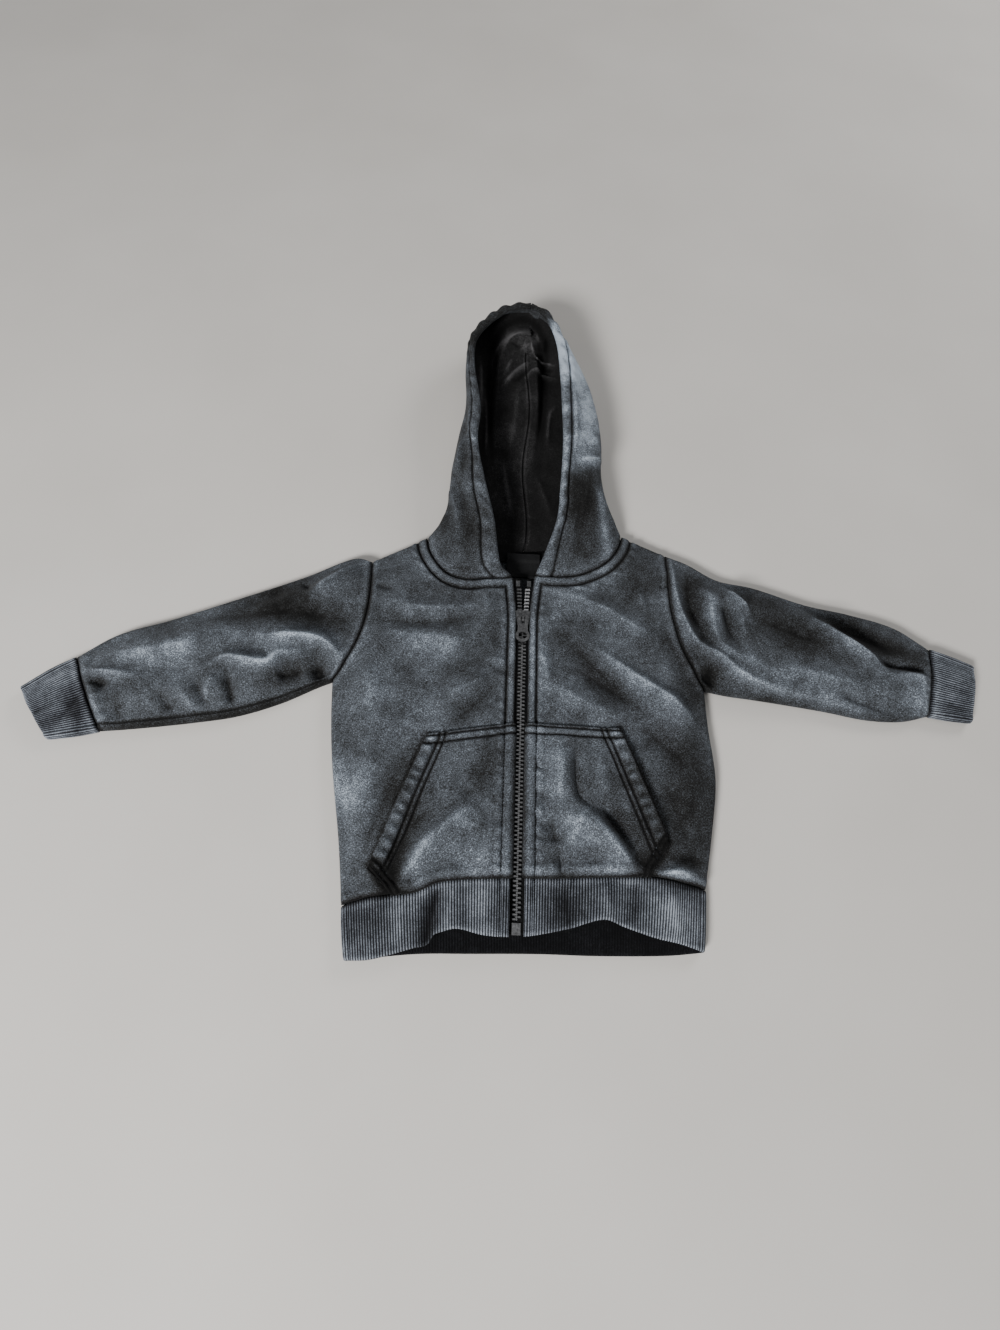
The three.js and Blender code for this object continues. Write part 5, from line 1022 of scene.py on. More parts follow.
right, left = halves["right"], halves["left"]
top_line = np.vstack([
    lerp(right.shoulder, right.neck_point, np.linspace(0, 1, 12)[:, None]),
    back_neck(np.linspace(0, 1, 41)[1:-1]),
    lerp(left.neck_point, left.shoulder, np.linspace(0, 1, 12)[:, None]),
])
top_neck = np.concatenate([np.full(12, 0.0), np.linspace(0, 1, 41)[1:-1], np.full(12, 1.0)])
top_sums = np.concatenate([[0], np.cumsum(np.linalg.norm(np.diff(top_line, axis=0), axis=1))])
top_total = top_sums[-1]


def back_surface(v, sigma):
    low = v <= 1
    ends = []
    for half in (right, left):
        arm = np.maximum(v - 1, 0) * half.arm.length
        on_arm = half.arm.at(arm) - HALF_GAP * away(half.sign, half.arm.tangent(arm))
        ends.append(np.where(low[..., None], half.side.at(np.minimum(v, 1) * half.side.length), on_arm))
    a, b = ends
    length = np.linalg.norm(b - a, axis=-1)
    share = refit(sigma, top_total, length) / length
    plan = lerp(a, b, share[..., None])
    arm = np.maximum(v - 1, 0) * right.arm.length
    from_top = np.where(low, FAR, right.arm.length - arm)
    tops = np.stack([np.interp(sigma, top_sums, top_line[:, k]) for k in (0, 1)], -1)
    straight = lerp(right.shoulder, left.shoulder, (sigma / top_total)[..., None])
    rise = np.where(low, 0, smooth(1 - from_top / (right.arm.length * 0.85)))
    plan = plan + (tops - straight) * rise[..., None]
    inward = np.minimum(np.abs(plan[..., 0] - a[..., 0]), np.abs(b[..., 0] - plan[..., 0]))
    hem = lerp(plan[..., 1], BACK_HEM_SEAM_Y, smooth(inward / BACK_CORNER)) + HALF_GAP
    first = 1 - smooth(v / 0.125)
    plan[..., 1] = lerp(plan[..., 1], hem, first)
    from_side = np.minimum(sigma, top_total - sigma)
    neck = np.interp(sigma, top_sums, top_neck)
    neck_end = np.minimum(neck, 1 - neck) * BACK_NECK_SPAN
    side_sine, top_sine = rolled(from_side)[0], rolled(from_top)[0]
    pit_sine, neck_sine = rolled(arm)[0], rolled(neck_end)[0]
    z = FOLD_RADIUS * (1 - side_sine) * (1 - pit_sine) + FOLD_RADIUS * (1 - top_sine) * (1 - neck_sine)
    return np.concatenate([plan, np.minimum(z, FOLD_RADIUS - HALF_GAP)[..., None]], -1)


v = np.concatenate([np.linspace(0, 1, 40), 1 + spread(1.0, 26, roll_steps(4) / 120, roll_steps(4) / 120)[1:]])
sigma = spread(top_total, 90, roll_steps(5), roll_steps(5))
grid = back_surface(v[:, None] + 0 * sigma[None], sigma[None] + 0 * v[:, None])
out = grid_normals(grid)
if out[20, 50, 2] > 0:
    out = -out
out = ways_down(grid, out)
piece = wall("back_cloth", grid, grid - out * FLEECE, np.full(grid.shape[:2], -0.1), fleece, inner_tone=-0.5,
             step=(1, 1))
dress(piece, "garment", "fleece", "back")


def hem_front(half):
    distance = spread(half.row_length(0.0), 110, roll_steps(), edge_steps())
    face, _ = half.front_surface(0.0 * distance, distance)
    _, cosine = rolled(distance)
    out = np.column_stack([half.sign * cosine, 0 * cosine, np.sqrt(1 - cosine**2)])
    share = (face[:, 0] - face[-1, 0]) / (face[0, 0] - face[-1, 0])
    x = lerp(half.sign * ZIP_EDGE, half.data["hem_side"][0], share)
    on_roll = distance <= FOLD_RADIUS
    x = np.where(on_roll, half.data["hem_side"][0] - half.sign * distance, x)
    z = np.where(on_roll, FOLD_RADIUS + FOLD_RADIUS * np.sqrt(1 - cosine**2), hem_edge_z(x))
    seam = face - np.array([0, SEAM_GAP, 0])
    seam[:, 2] += 1.2 * np.where(on_roll, 0, 1)
    return seam, np.column_stack([x, hem_edge_y(x), z]), out


def hem_back():
    sigma = spread(top_total, 110, roll_steps(), roll_steps())
    face = back_surface(0 * sigma, sigma)
    from_side = np.minimum(sigma, top_total - sigma)
    _, cosine = rolled(from_side)
    sign = np.where(sigma < top_total / 2, -1, 1)
    out = np.column_stack([sign * cosine, 0 * cosine, -np.sqrt(1 - cosine**2)])
    share = (face[:, 0] - face[0, 0]) / (face[-1, 0] - face[0, 0])
    x = lerp(right.data["hem_side"][0], left.data["hem_side"][0], share)
    side_x = np.where(sign < 0, right.data["hem_side"][0], left.data["hem_side"][0])
    x = np.where(from_side <= FOLD_RADIUS, side_x - sign * from_side, x)
    return face - np.array([0, SEAM_GAP, 0]), np.column_stack([x, back_hem_y(x), face[:, 2]]), out


front_seam_r, front_edge_r, front_out_r = (v[::-1] for v in hem_front(right))
front_seam_l, front_edge_l, front_out_l = hem_front(left)
back_seam, back_edge, back_out = (v[1:-1] for v in hem_back())
hem_both = np.concatenate([np.zeros(len(front_seam_r)), np.ones(len(back_seam)), np.zeros(len(front_seam_l))])
piece = ribbed(
    "hem_band_knit",
    np.concatenate([front_seam_r, back_seam, front_seam_l]),
    np.concatenate([front_edge_r, back_edge, front_edge_l]),
    np.concatenate([front_out_r, back_out, front_out_l]),
    np.concatenate([front_out_r, back_out, front_out_l]),
    20, ribbing, False, 0.9, hem_both,
)
dress(piece, "garment", "ribbing", "hem_band")


# Hood
def hood_parts(name):
    half = halves[name]
    read = {key: column(HOOD[name], "at", key) for key in HOOD[name] if key != "at"}
    neck = half.neck_stations
    roll = np.array([0, FOLD_RADIUS * (1 - math.sqrt(0.5)), FOLD_RADIUS]) / BACK_NECK_SPAN
    shares = np.concatenate([roll, np.array(BACK_NECK_SHARES) / 2, [0.5]])
    upper, lower = len(neck) - 1, len(shares) - 1
    first = len(half.arm_stations) - len(neck)

    def general(s, j):
        open_ = np.stack([read["openX"](s), read["openY"](s)], -1)
        wide = np.stack([read["wideX"](s), read["wideY"](s)], -1)
        back = np.stack([0 * s, read["backY"](s)], -1)
        open_z, wide_z = read["openZ"](s), read["wideZ"](s)
        angle = math.pi / 2 * np.clip(j / upper, 0, 1)
        p = lerp(open_, wide, np.sin(angle)[..., None])
        z = wide_z + (open_z - wide_z) * np.cos(angle)
        inward = back - wide
        reach = np.minimum(wide_z, np.linalg.norm(inward, axis=-1) / 2)
        foot = wide + unit(inward) * reach[..., None]
        k = j - upper
        angle = math.pi / 2 * np.clip(k / HOOD_TURN_STEPS, 0, 1)
        q = lerp(wide, foot, (1 - np.cos(angle))[..., None])
        t = np.clip((k - HOOD_TURN_STEPS) / (lower - HOOD_TURN_STEPS), 0, 1)
        q = lerp(q, back, t[..., None])
        low = (j > upper)[..., None]
        plan = np.where(low, q, p)
        return np.concatenate([plan, np.where(j > upper, wide_z * (1 - np.sin(angle)), z)[..., None]], -1)

    def neck_row(j):
        at = np.interp(j, np.arange(upper + 1), neck)
        v = 1 + np.interp(j, np.arange(upper + 1), half.arm_stations[first:]) / half.arm.length
        face, _ = half.front_surface(v, half.row_length(v), fine=False)
        p = half.neck.at(at) - HALF_GAP * away(half.sign, half.neck.tangent(at))
        up = np.column_stack([p, np.where(j >= upper, FOLD_RADIUS, face[:, 2])])
        share = np.interp(j - upper, np.arange(lower + 1), shares)
        q = back_neck(share if half.sign < 0 else 1 - share) + np.array([0, HALF_GAP])
        down = np.column_stack([q, FOLD_RADIUS * (1 - rolled(share * BACK_NECK_SPAN)[0])])
        return np.where((j <= upper)[:, None], up, down)

    def place(s, j):
        """Points for one column of sections and one row of stations"""
        offsets = neck_row(j) - general(0 * j, j)
        grid_s, grid_j = s[:, None] + 0 * j[None], j[None] + 0 * s[:, None]
        p = general(grid_s, grid_j) + offsets[None] * (1 - smooth(grid_s / NECK_BLEND))[..., None]
        middle = (grid_j >= upper + lower) | (grid_s >= 1)
        p[..., 0] = np.where(middle, half.sign * HALF_GAP, p[..., 0])
        p[..., 1] -= CROWN_ROUND * bell(p[..., 0], 9) * smooth((grid_s - 0.9) / 0.1)
        p[..., 2] = np.maximum(p[..., 2], 0)
        return p

    return place, upper, lower


HOOD_CREASES = {
    # Along the face opening (y) and away from its edge (e), in mm
    "right": table(
        "ax ay bx by wide high skew",
        (112, 30, 160, 34, 6, -2.6, 0), (160, 34, 184, 36, 6, -1.6, 0), (120, 44, 170, 46, 8, 2.2, 0),
        (196, 30, 224, 20, 4, 1.8, 0), (190, 26, 214, 14, 4, -1.4, 0), (214, 2, 250, 10, 5, 1.6, 0),
        (250, 10, 300, 6, 5, 1.4, 0), (228, 14, 262, 22, 4, -1.4, 0), (300, 3, 330, 8, 4, -1.2, 0),
    ),
    "left": table(
        "ax ay bx by wide high skew",
        (206, 20, 206, 46, 4, 2.6, 0.4), (196, 26, 196, 42, 8, -2.6, 0), (196, 34, 130, 36, 12, -2.4, 0),
        (290, 12, 220, 12, 4, 2.0, 0), (118, 26, 150, 22, 5, 1.8, 0), (240, 30, 214, 44, 6, 1.6, 0),
        (320, 20, 280, 26, 6, -1.4, 0),
    ),
}


# How wide the casing looks up the face opening
CASING_SEEN = {
    "right": table("y wide", (100, 16), (165, 17), (190, 13), (215, 9), (260, 10), (330, 11), (400, 13)),
    "left": table("y wide", (106, 14), (150, 11), (180, 9), (230, 8.5), (300, 9.5), (350, 11), (400, 13)),
}
casing_seen = {name: column(CASING_SEEN[name], "y", "wide") for name in CASING_SEEN}


def hood_face(name, s, j):
    """The hood's outer face, its way out, tone and distance from the face opening"""
    half = halves[name]
    place, upper, lower = hood_parts(name)
    p = place(s, j)
    out = ways_down(p, -half.sign * grid_normals(p))
    step = np.linalg.norm(np.diff(p, axis=1), axis=2)
    from_open = np.concatenate([np.zeros((len(s), 1)), np.cumsum(step, 1)], 1)
    along = np.concatenate([[0], np.cumsum(np.linalg.norm(np.diff(p[:, 0], axis=0), axis=1))])
    y_open = p[:, :1, 1] + 0 * from_open
    reach = from_open[:, -1:]
    creases, crest = fold_height(y_open, from_open, fold_chains(HOOD_CREASES[name]))
    clear = smooth((reach - from_open) / 25) * smooth(y_open / 20 - 5)
    pucker = np.sin(2 * math.pi * (along[:, None] + 0.35 * from_open) / 17 + 2.2 * noise(along[:, None], from_open, 24, 21))
    casing = casing_seen[name](y_open)
    band = bell(from_open / casing - 0.53, 0.32)
    centre = smooth((along[-1] - along[:, None]) / 14)
    creases = np.maximum(creases, -0.9)
    pucker = pucker * centre
    puff = np.sin(math.pi * np.clip(from_open / casing, 0, 1)) ** 0.7
    lift = 1.3 * creases * clear + (1.2 * pucker + 0.4) * band + 1.5 * puff
    lift = lift - 1.5 * bell(from_open - casing, 1.2)
    lift = lift + 0.6 * cloth_noise(y_open, from_open) * smooth(from_open / 6) * clear
    lift = lift + 0.5 * centre * (1 + np.sin(2 * math.pi * along[:, None] / 12.5 + 1)) * bell(
        from_open - casing - 4, 3)
    neck = along[:, None] + 0 * from_open
    lift = lift + seam_dip(neck, 1.2, 2.2)
    seen_x, seen_y = as_seen(p)
    # Painted shade in creases and painted highlight on crests and puckers, partly the wash's paler high points
    tone = (0.3 * creases + CREST_HIGHLIGHT_TONE * crest) * clear + 0.45 * pucker * band - 2.6 * bell(from_open - casing, 1.1)
    tone = tone + seam_tone(neck) + wash_and_shade_tone(seen_x, seen_y)
    # On the left, painted shadow in the hollow and a painted highlight along the face opening's edge; the right side is
    # painted slightly darker as shade
    if name == "left":
        tone = tone + hollow_shadow_tone(seen_x, seen_y) + 1.5 * bell(from_open - 2, 3) * smooth((seen_x - 12) / 12)
    else:
        tone = tone - 0.2
    # Painted shade inside the crown
    tone = tone - 1.7 * smooth((seen_y - 335) / 30) * smooth((24 - seen_x) / 14)
    return p + out * lift[..., None], p, out, tone, from_open


seams = []
for name, half in halves.items():
    place, upper, lower = hood_parts(name)
    s = np.concatenate([np.linspace(0, 0.02, 5)[:-1], np.linspace(0.02, 0.9, 150)[:-1], np.linspace(0.9, 1, 40)])
    j = np.concatenate([[0, 0.03, 0.1], np.linspace(0.2, upper, 96)[:-1], np.linspace(upper, upper + lower, 30)])
    face, base, out, tone, from_open = hood_face(name, s, j)
    casing = casing_seen[name](base[:, 0, 1])
    stitched = np.array([[np.interp(w, d, q[:, k]) for k in range(3)] for w, d, q in zip(casing, from_open, face)])
    ways = np.array([[np.interp(w, d, q[:, k]) for k in range(3)] for w, d, q in zip(casing, from_open, out)])
    seams.append((stitched[2:-6], ways[2:-6]))
    thick = lerp(FLEECE, CASING, smooth((CASING_WIDE + 1 - from_open) / 2.5))
    radius = CASING / 2
    curl = radius - np.sqrt(np.maximum(radius**2 - np.clip(radius - from_open, 0, radius) ** 2, 0))
    outer = face - out * curl[..., None]
    inner = base - out * (thick - curl)[..., None]
    outer[..., 2] = np.maximum(outer[..., 2], 0)
    piece = wall(f"hood_{name}_cloth", outer, inner, tone, fleece, inner_tone=-0.7, step=(2, 2))
    dress(piece, "garment", "fleece", f"hood_{name}")


LINING_FOLDS = table(
    "ax ay bx by wide high skew",
    (4, 374, 10, 364, 3.4, 3.0, 0), (10, 364, 8, 350, 3.4, 4.0, 0), (8, 350, 6, 334, 3.4, 3.6, 0),
    (16, 362, 15, 342, 3.4, -3.6, 0), (10, 329, 14, 327, 2.7, 3.6, 0), (5, 320, -12, 306, 3.1, 2.8, 0),
    (-12, 306, -26, 288, 3.1, 2.8, 0), (4, 311, -16, 294, 2.7, -2.4, 0), (2, 350, -10, 334, 2.7, 2.2, 0),
    (-10, 334, -24, 302, 2.7, 2.4, 0), (-6, 342, -18, 318, 2.7, -2.2, 0), (24, 328, 12, 328, 2.7, 2.4, 0),
    (24, 311, 4, 309, 2.7, 2.6, 0), (4, 309, -3, 300, 2.7, 2.2, 0), (14, 319, 22, 320, 2.7, -2.6, 0),
    (26, 276, 20, 266, 2.7, 2.4, 0), (20, 266, 17, 230, 3.1, 2.4, 0), (10, 284, 10, 240, 4.1, -1.8, 0),
    (-34, 298, -37, 328, 3.4, 2.2, 0), (-37, 328, -30, 354, 3.4, 2.6, 0), (-30, 354, -18, 370, 3.4, 3.0, 0),
    (-18, 370, 0, 376, 3.4, 2.6, 0), (-42, 290, -38, 214, 2.7, 2.4, 0), (-36, 270, -32, 204, 2.7, -2.0, 0),
    (-49, 334, -45, 262, 2.7, 2.2, 0), (-22, 208, -14, 150, 3.4, 1.6, 0), (-12, 284, -16, 220, 5.4, 1.4, 0),
    (8, 196, 20, 152, 4.1, 1.4, 0), (-22, 352, -10, 340, 3.4, -1.8, 0),
)
CRUMPLE_MIDDLE = (-10, 336)
CRUMPLE_REACH = (22, 42)
CRUMPLE_HIGH = 12.0
lining_chains = fold_chains(LINING_FOLDS)

for name, half in halves.items():
    place, upper, lower = hood_parts(name)
    s = np.concatenate([np.linspace(0, 0.9, 160)[:-1], np.linspace(0.9, 1, 44)])
    j = np.concatenate([np.linspace(1.2, upper, 50)[:-1], np.linspace(upper, upper + lower, 74)])
    base = place(s, j)
    out = ways_down(base, -half.sign * grid_normals(base))
    p = base - out * (FLEECE + SEAM_GAP)
    x, y = p[..., 0].copy(), p[..., 1].copy()
    seen_x, seen_y = as_seen(p)
    up = (seen_y - CRUMPLE_MIDDLE[1]) / CRUMPLE_REACH[1]
    sideways = seen_x - CRUMPLE_MIDDLE[0] + 0.04 * (CRUMPLE_MIDDLE[1] - seen_y)
    off = np.hypot(sideways / CRUMPLE_REACH[0], np.maximum(up, 0))
    tail = smooth((seen_y - 150) / 190)
    dome = np.sqrt(smooth((1.06 - off) / 0.24)) * tail**1.5
    from_edge = j[None] - j[0] + 0 * x
    free = smooth(from_edge / 3) * smooth((s[:, None] - 0.04) / 0.08)
    folds, crest = fold_height(seen_x, seen_y, lining_chains)
    folds, crest = 1.5 * folds * free, crest * free
    seam = np.abs(x)
    swell = folds + free * 0.8 * cloth_noise(x, y) + free * (1.2 * bell(seam, 2.4) - 0.9 * bell(seam, 0.8))
    swell = 0.5 * (swell + np.sqrt(swell**2 + 1)) * free + CRUMPLE_HIGH * dome * free
    p = p - out * swell[..., None]
    sway = 2.6 * np.sin(y / 21.0) * bell(x, 16) * free
    p[..., 0] += sway
    rim = bell(off - 0.92, 0.1) * tail
    # Painted shade in fold troughs and painted highlight on crests; the dome is painted lighter, with a painted
    # highlight along its rim and painted shadow round its foot
    tone = 0.2 * folds + 1.7 * crest + 0.9 * bell(seam - 1.6, 1.0) - 1.0 * bell(seam, 0.8)
    tone = tone + 0.5 * noise(x, y, 21, 51) + 0.6 * smooth((1.05 - off) / 0.3) * free
    tone = tone + 1.1 * rim * free - 2.0 * bell(off - 1.22, 0.14) * tail
    normals = grid_normals(p)
    normals = normals * np.sign((normals * -out).sum())
    piece = wall(f"hood_lining_{name}_cloth", p, p - normals * JERSEY, tone, jersey, step=(2, 2))
    dress(piece, "garment", "jersey", f"hood_lining_{name}")


# Zip: tapes, teeth and stops
def chain_z(y):
    """Height of the zip's middle along its length"""
    y = np.asarray(y, float)
    heights = []
    for half in halves.values():
        v, _ = half.find_row(np.full(y.shape, half.sign * (ZIP_EDGE + 0.3)), np.clip(y, -148, 100))
        face, _ = half.front_surface(v, half.row_length(v), fine=False)
        top = face[:, 2] - FLEECE - SEAM_GAP
        low = hem_edge_z(half.sign * ZIP_EDGE) - RIBBING - SEAM_GAP
        share = smooth((-148 - y) / 42)
        heights.append(lerp(top, low, np.clip((-148 - y) / 42, 0, 1) + 0 * share))
    return sum(heights) / 2


def tape_edge_x(y):
    return 0.5 + 1.7 * smooth((y - 58) / 10) + 1.0 * smooth((y - 70) / 34)


for name, half in halves.items():
    y = np.linspace(-188, 104, 220)
    middle = chain_z(y)
    edge_x = np.abs(zip_edge_x(half.sign, y))
    across = np.linspace(0, 1, 15)
    x = lerp(tape_edge_x(y)[:, None], (edge_x + 6.0)[:, None], across[None])
    v, distance = half.find_row(half.sign * np.maximum(x, edge_x[:, None] + 0.2), np.clip(y, -148, 99)[:, None] + 0 * x)
    face, _ = half.front_surface(v, distance, fine=False)
    under = face[..., 2] - FLEECE - SEAM_GAP
    low = hem_edge_z(half.sign * ZIP_EDGE) - RIBBING - SEAM_GAP
    under = lerp(under, low, np.clip((-148 - y) / 42, 0, 1)[:, None])
    z = lerp(middle[:, None], under, smooth((x - 2.5) / 4.0)) - 0.1
    grid = np.stack([half.sign * x, y[:, None] + 0 * x, z], -1)
    rib = 0.12 * np.sin(2 * math.pi * x / 1.1)
    grid[..., 2] += rib
    lower_face = grid - np.array([0, 0, 0.9])
    piece = wall(f"zip_tape_{name}_cloth", grid, lower_face, 3 * rib, tape, inner_tone=-0.5, step=(4, 4))
    dress(piece, "garment", "tape", f"zip_tape_{name}")


def tooth(centre, sign):
    """One moulded tooth, reaching from its tape to the zip's middle line"""
    outline = np.array([
        (3.3, -0.75), (1.3, -0.75), (0.55, -0.5), (0.1, -0.95), (-0.75, -0.8), (-0.95, 0),
        (-0.75, 0.8), (0.1, 0.95), (0.55, 0.5), (1.3, 0.75), (3.3, 0.75),
    ])
    middle = outline.mean(0)
    levels = ((-1.25, 0.84), (-0.95, 1.0), (0.95, 1.0), (1.3, 0.8))
    points = []
    for z, scale in levels:
        ring = middle + (outline - middle) * scale
        points.append(np.column_stack([sign * ring[:, 0], ring[:, 1], np.full(len(ring), z)]))
    return np.vstack(points) + centre


def tooth_faces(start, count=11, levels=4):
    index = start + np.arange(count * levels).reshape(levels, count)
    faces = quads(index, ring=True)
    faces.append(index[0][::-1].tolist())
    faces.append(index[-1].tolist())
    return faces


TOOTH_PITCH = 3.3
points, faces, teeth_glint = [], [], []
for sign in (-1, 1):
    closed = np.arange(-178 + (0 if sign < 0 else TOOTH_PITCH / 2), 55.5, TOOTH_PITCH)
    opened = np.arange(72.5, 94.5, TOOTH_PITCH)
    spots = np.concatenate([closed, opened])
    heights = chain_z(spots)
    for y, z in zip(spots, heights):
        x = sign * (tape_edge_x(y) - 0.5)
        faces.extend(tooth_faces(44 * len(points)))
        points.append(tooth(np.array([x, y, z - 0.3]), sign))
        # Painted highlight on the opened teeth of the left half
        teeth_glint.append(np.full(44, 0.5 if sign > 0 and y > 70 else 0.0))
piece = make("zip_teeth", np.vstack(points), faces, np.concatenate(teeth_glint), chain_metal)
piece.data.polygons.foreach_set("use_smooth", np.zeros(len(piece.data.polygons), bool))
dress(piece, "garment", "metal")
for name in ("zip_slider", "zip_pull_tab", "zip_bottom_stop", "zip_top_stop_right", "zip_top_stop_left"):
    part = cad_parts[name]
    part.data.materials.clear()
    part.data.materials.append(gunmetal)


# Neck tape and bare label
share = np.linspace(0.13, 0.87, 90)
line = back_neck(share)
depth = np.linspace(0.3, 10.6, 12)
grid = np.stack([line[:, :1] + 0 * depth, line[:, 1:] - depth, 0 * line[:, :1] + 3.3 + 0.15 * np.sin(
    2 * math.pi * (line[:, :1] + depth) / 2.2)], -1)
piece = wall("neck_tape_cloth", grid, grid - np.array([0, 0, 1.0]), 0.8 * np.sin(
    2 * math.pi * (grid[..., 0] + grid[..., 1]) / 2.2), tape, step=(3, 3))
dress(piece, "garment", "tape", "neck_tape")
top = back_neck(np.array(0.5))[1] - 3
down = np.linspace(0, 24, 26)[:, None]
x = np.linspace(-15, 15, 30)[None]
z = 4.6 - 1.3 * smooth((down - 6) / 4) + 0.25 * noise(x + 0 * down, down + 0 * x, 9, 31) + 1.0
grid = np.stack([x + 0 * down, top - down + 0 * x, z], -1)
edge = np.minimum(np.minimum(15 - np.abs(x), down), 24 - down)
piece = wall("neck_label_cloth", grid, grid - np.array([0, 0, 0.8]), 1.5 + 0.5 * bell(edge - 0.6, 0.5), tape, step=(3, 3))
dress(piece, "garment", "tape", "neck_label")


# Stitching
def stitch_rows(lines, length=2.5, pitch=3.0, radius=0.42):
    points, faces = [], []
    sides = 5
    around = np.linspace(0, 2 * math.pi, sides + 1)[:-1]
    ends = ((-0.5, 0.35), (-0.32, 1.0), (0.32, 1.0), (0.5, 0.35))
    for line, out in lines:
        sums = np.concatenate([[0], np.cumsum(np.linalg.norm(np.diff(line, axis=0), axis=1))])
        for at in np.arange(pitch / 2, sums[-1], pitch):
            p, q, n = (
                np.array([np.interp(t, sums, v[:, k]) for k in range(3)])
                for t, v in ((at, line), (min(at + 1, sums[-1]), line), (at, out))
            )
            along, n = unit(q - p), unit(n)
            across = np.cross(along, n)
            start = 4 * sides * len(points)
            ring = np.cos(around)[:, None] * across + 0.6 * np.sin(around)[:, None] * n
            points.append(np.vstack([p + along * length * t + radius * r * ring for t, r in ends]))
            index = start + np.arange(4 * sides).reshape(4, sides)
            faces += quads(index, ring=True) + [index[0][::-1].tolist(), index[-1].tolist()]
    return np.vstack(points), faces


def on_piece(piece, line, lift=0.15):
    """A plan line laid on a piece from above, as places and the ways out of the cloth there"""
    line = np.array(line, float)
    sums = np.concatenate([[0], np.cumsum(np.linalg.norm(np.diff(line, axis=0), axis=1))])
    at = np.arange(0, sums[-1], 0.8)
    places, ways = [], []
    for x, y in zip(np.interp(at, sums, line[:, 0]), np.interp(at, sums, line[:, 1])):
        hit, spot, way, _ = piece.ray_cast((x * MM, y * MM, 0.1), (0, 0, -1))
        if hit:
            places.append(np.array(spot) / MM + np.array(way) * lift)
            ways.append(np.array(way))
    return np.array(places), np.array(ways)


def offset_line(start, end, inward, trim_start=0.0, trim_end=0.0):
    """The line from start to end moved to its side, and cut back at its ends"""
    start, end = np.array(start, float), np.array(end, float)
    along = unit(end - start)
    side = np.array([-along[1], along[0]])
    return [start + side * inward + along * trim_start, end + side * inward - along * trim_end]


bpy.context.view_layer.update()
for name, half in halves.items():
    sign = half.sign
    front, pocket = pieces[f"front_{name}_cloth"], pieces[f"pocket_{name}_cloth"]
    corner_y = half.neck.points[0, 1] - NECK_BAND
    top_y = half.data["pocket_top"] + 1.0
    x_at = sign * (ZIP_EDGE + ZIP_BAND)
    y = np.linspace(top_y, corner_y, 90)
    seams.append(on_piece(front, np.column_stack([zip_edge_x(sign, y) + sign * ZIP_BAND, y])))
    seams.append(on_piece(pocket, [(x_at, hem_seam_y(x_at) + 2.5), (x_at, top_y - 2)]))
    hem_x = sign * (ZIP_EDGE + ZIP_BAND)
    seams.append(on_piece(pieces["hem_band_knit"], [(hem_x, hem_edge_y(hem_x) + 2), (hem_x, hem_seam_y(hem_x) - 2)]))
    at = np.linspace(0, half.neck.length - 3, 120)
    inward = half.neck.at(at) + NECK_BAND * away(sign, half.neck.tangent(at))
    seams.append(on_piece(front, inward[np.abs(inward[:, 0]) > abs(zip_edge_x(sign, corner_y)) + ZIP_BAND]))
    outline = half.data["pocket"]
    corners = [(outline["x"][k], outline["y"][k]) for k in range(3)]
    top = (sign * (ZIP_EDGE + 1), half.data["pocket_top"])
    for inward in (2.4, 8.6):
        seams.append(on_piece(pocket, offset_line(top, corners[0], -sign * inward, 0, 2.5)))
    for inward in (10.5, 14.6):
        seams.append(on_piece(pocket, offset_line(corners[0], corners[1], -sign * inward, 3, 1)))
    for inward in (2.6, 6.6):
        seams.append(on_piece(pocket, offset_line(corners[1], corners[2], -sign * inward, 1.5, 2)))
points, faces = stitch_rows([line for line in seams if len(line[0]) > 3])
piece = make("stitching", points, faces, np.zeros(len(points)), thread)
dress(piece, "garment", "tape")


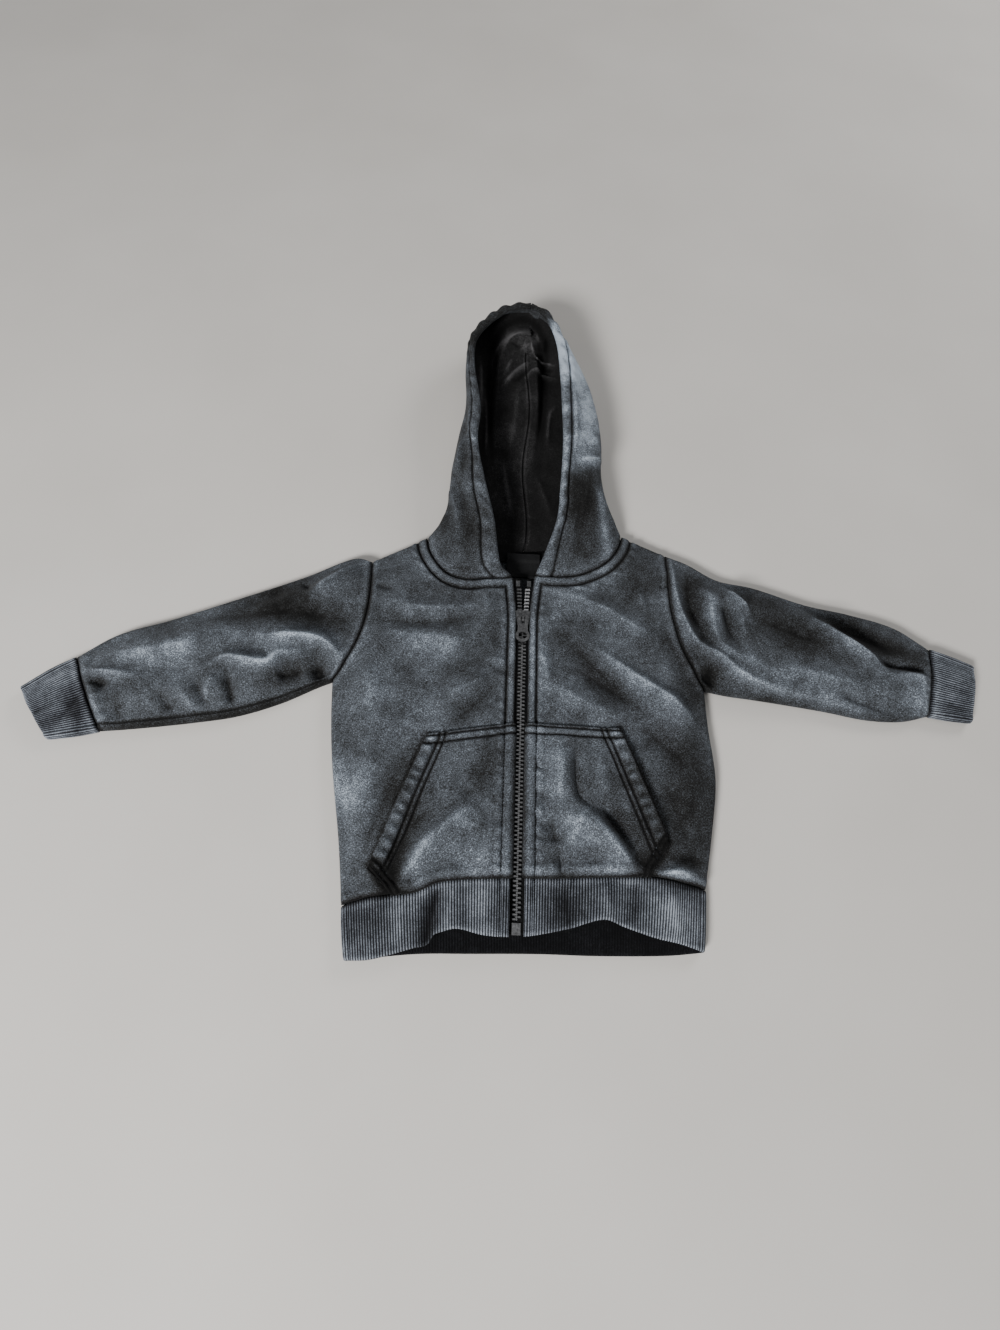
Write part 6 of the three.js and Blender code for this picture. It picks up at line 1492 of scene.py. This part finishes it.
# Floor, light and camera
def floor_look():
    look, tree, bsdf = shader("floor")
    place = node(tree, "ShaderNodeTexCoord").outputs["Object"]
    soft = node(tree, "ShaderNodeTexNoise", {"Vector": place, "Scale": 6.0, "Detail": 3.0}).outputs[0]
    colour = ramp(tree, soft, (0.3, (0.60, 0.57, 0.53)), (0.7, (0.64, 0.61, 0.57)))
    tree.links.new(colour, bsdf.inputs["Base Color"])
    bsdf.inputs["Roughness"].default_value = 0.8
    return look


bpy.ops.mesh.primitive_plane_add(size=14, location=(0, 0, -0.0002))
floor = bpy.context.object
floor.name = "floor"
floor.data.materials.append(floor_look())


def area_light(name, place, target, size, power, colour=(1, 1, 1)):
    data = bpy.data.lights.new(name, "AREA")
    data.shape = "RECTANGLE"
    data.size, data.size_y = size
    data.energy = power
    data.color = colour
    lamp = bpy.data.objects.new(name, data)
    bpy.context.scene.collection.objects.link(lamp)
    way = unit(np.array(place) - np.array(target))
    side = unit(np.cross([0.0, 0.3, 1.0], way))
    up = np.cross(way, side)
    lamp.matrix_world = Matrix([[*row, p] for row, p in zip(np.stack([side, up, way], 1), place)] + [[0, 0, 0, 1]])
    return lamp


area_light("key", (-1.1, -1.6, 1.3), (0, 0.05, 0), (0.7, 0.5), 84)
area_light("rim", (1.5, 1.5, 1.1), (0, 0.1, 0), (1.0, 0.7), 20)
area_light("top", (0.2, 0.2, 2.6), (0, 0.1, 0), (2.0, 2.0), 5)
world = bpy.data.worlds.new("studio")
world.use_nodes = True
world.node_tree.nodes["Background"].inputs["Color"].default_value = (0.93, 0.96, 1.0, 1)
world.node_tree.nodes["Background"].inputs["Strength"].default_value = 0.2
bpy.context.scene.world = world

camera_data = bpy.data.cameras.new("camera")
camera_data.lens = 19.08
camera_data.sensor_width = 36
camera_data.clip_start = 0.01
camera = bpy.data.objects.new("camera", camera_data)
bpy.context.scene.collection.objects.link(camera)
RIGHT = (0.99889667, 0.03172443, 0.03462664)
UP = (-0.04294494, 0.91544713, 0.40014034)
FORWARD = (0.01900464, 0.40118589, -0.91579949)
PLACE = tuple(v * MM for v in VIEWPOINT)
camera.matrix_world = Matrix([[r, u, -f, p] for r, u, f, p in zip(RIGHT, UP, FORWARD, PLACE)] + [[0, 0, 0, 1]])
bpy.context.scene.camera = camera
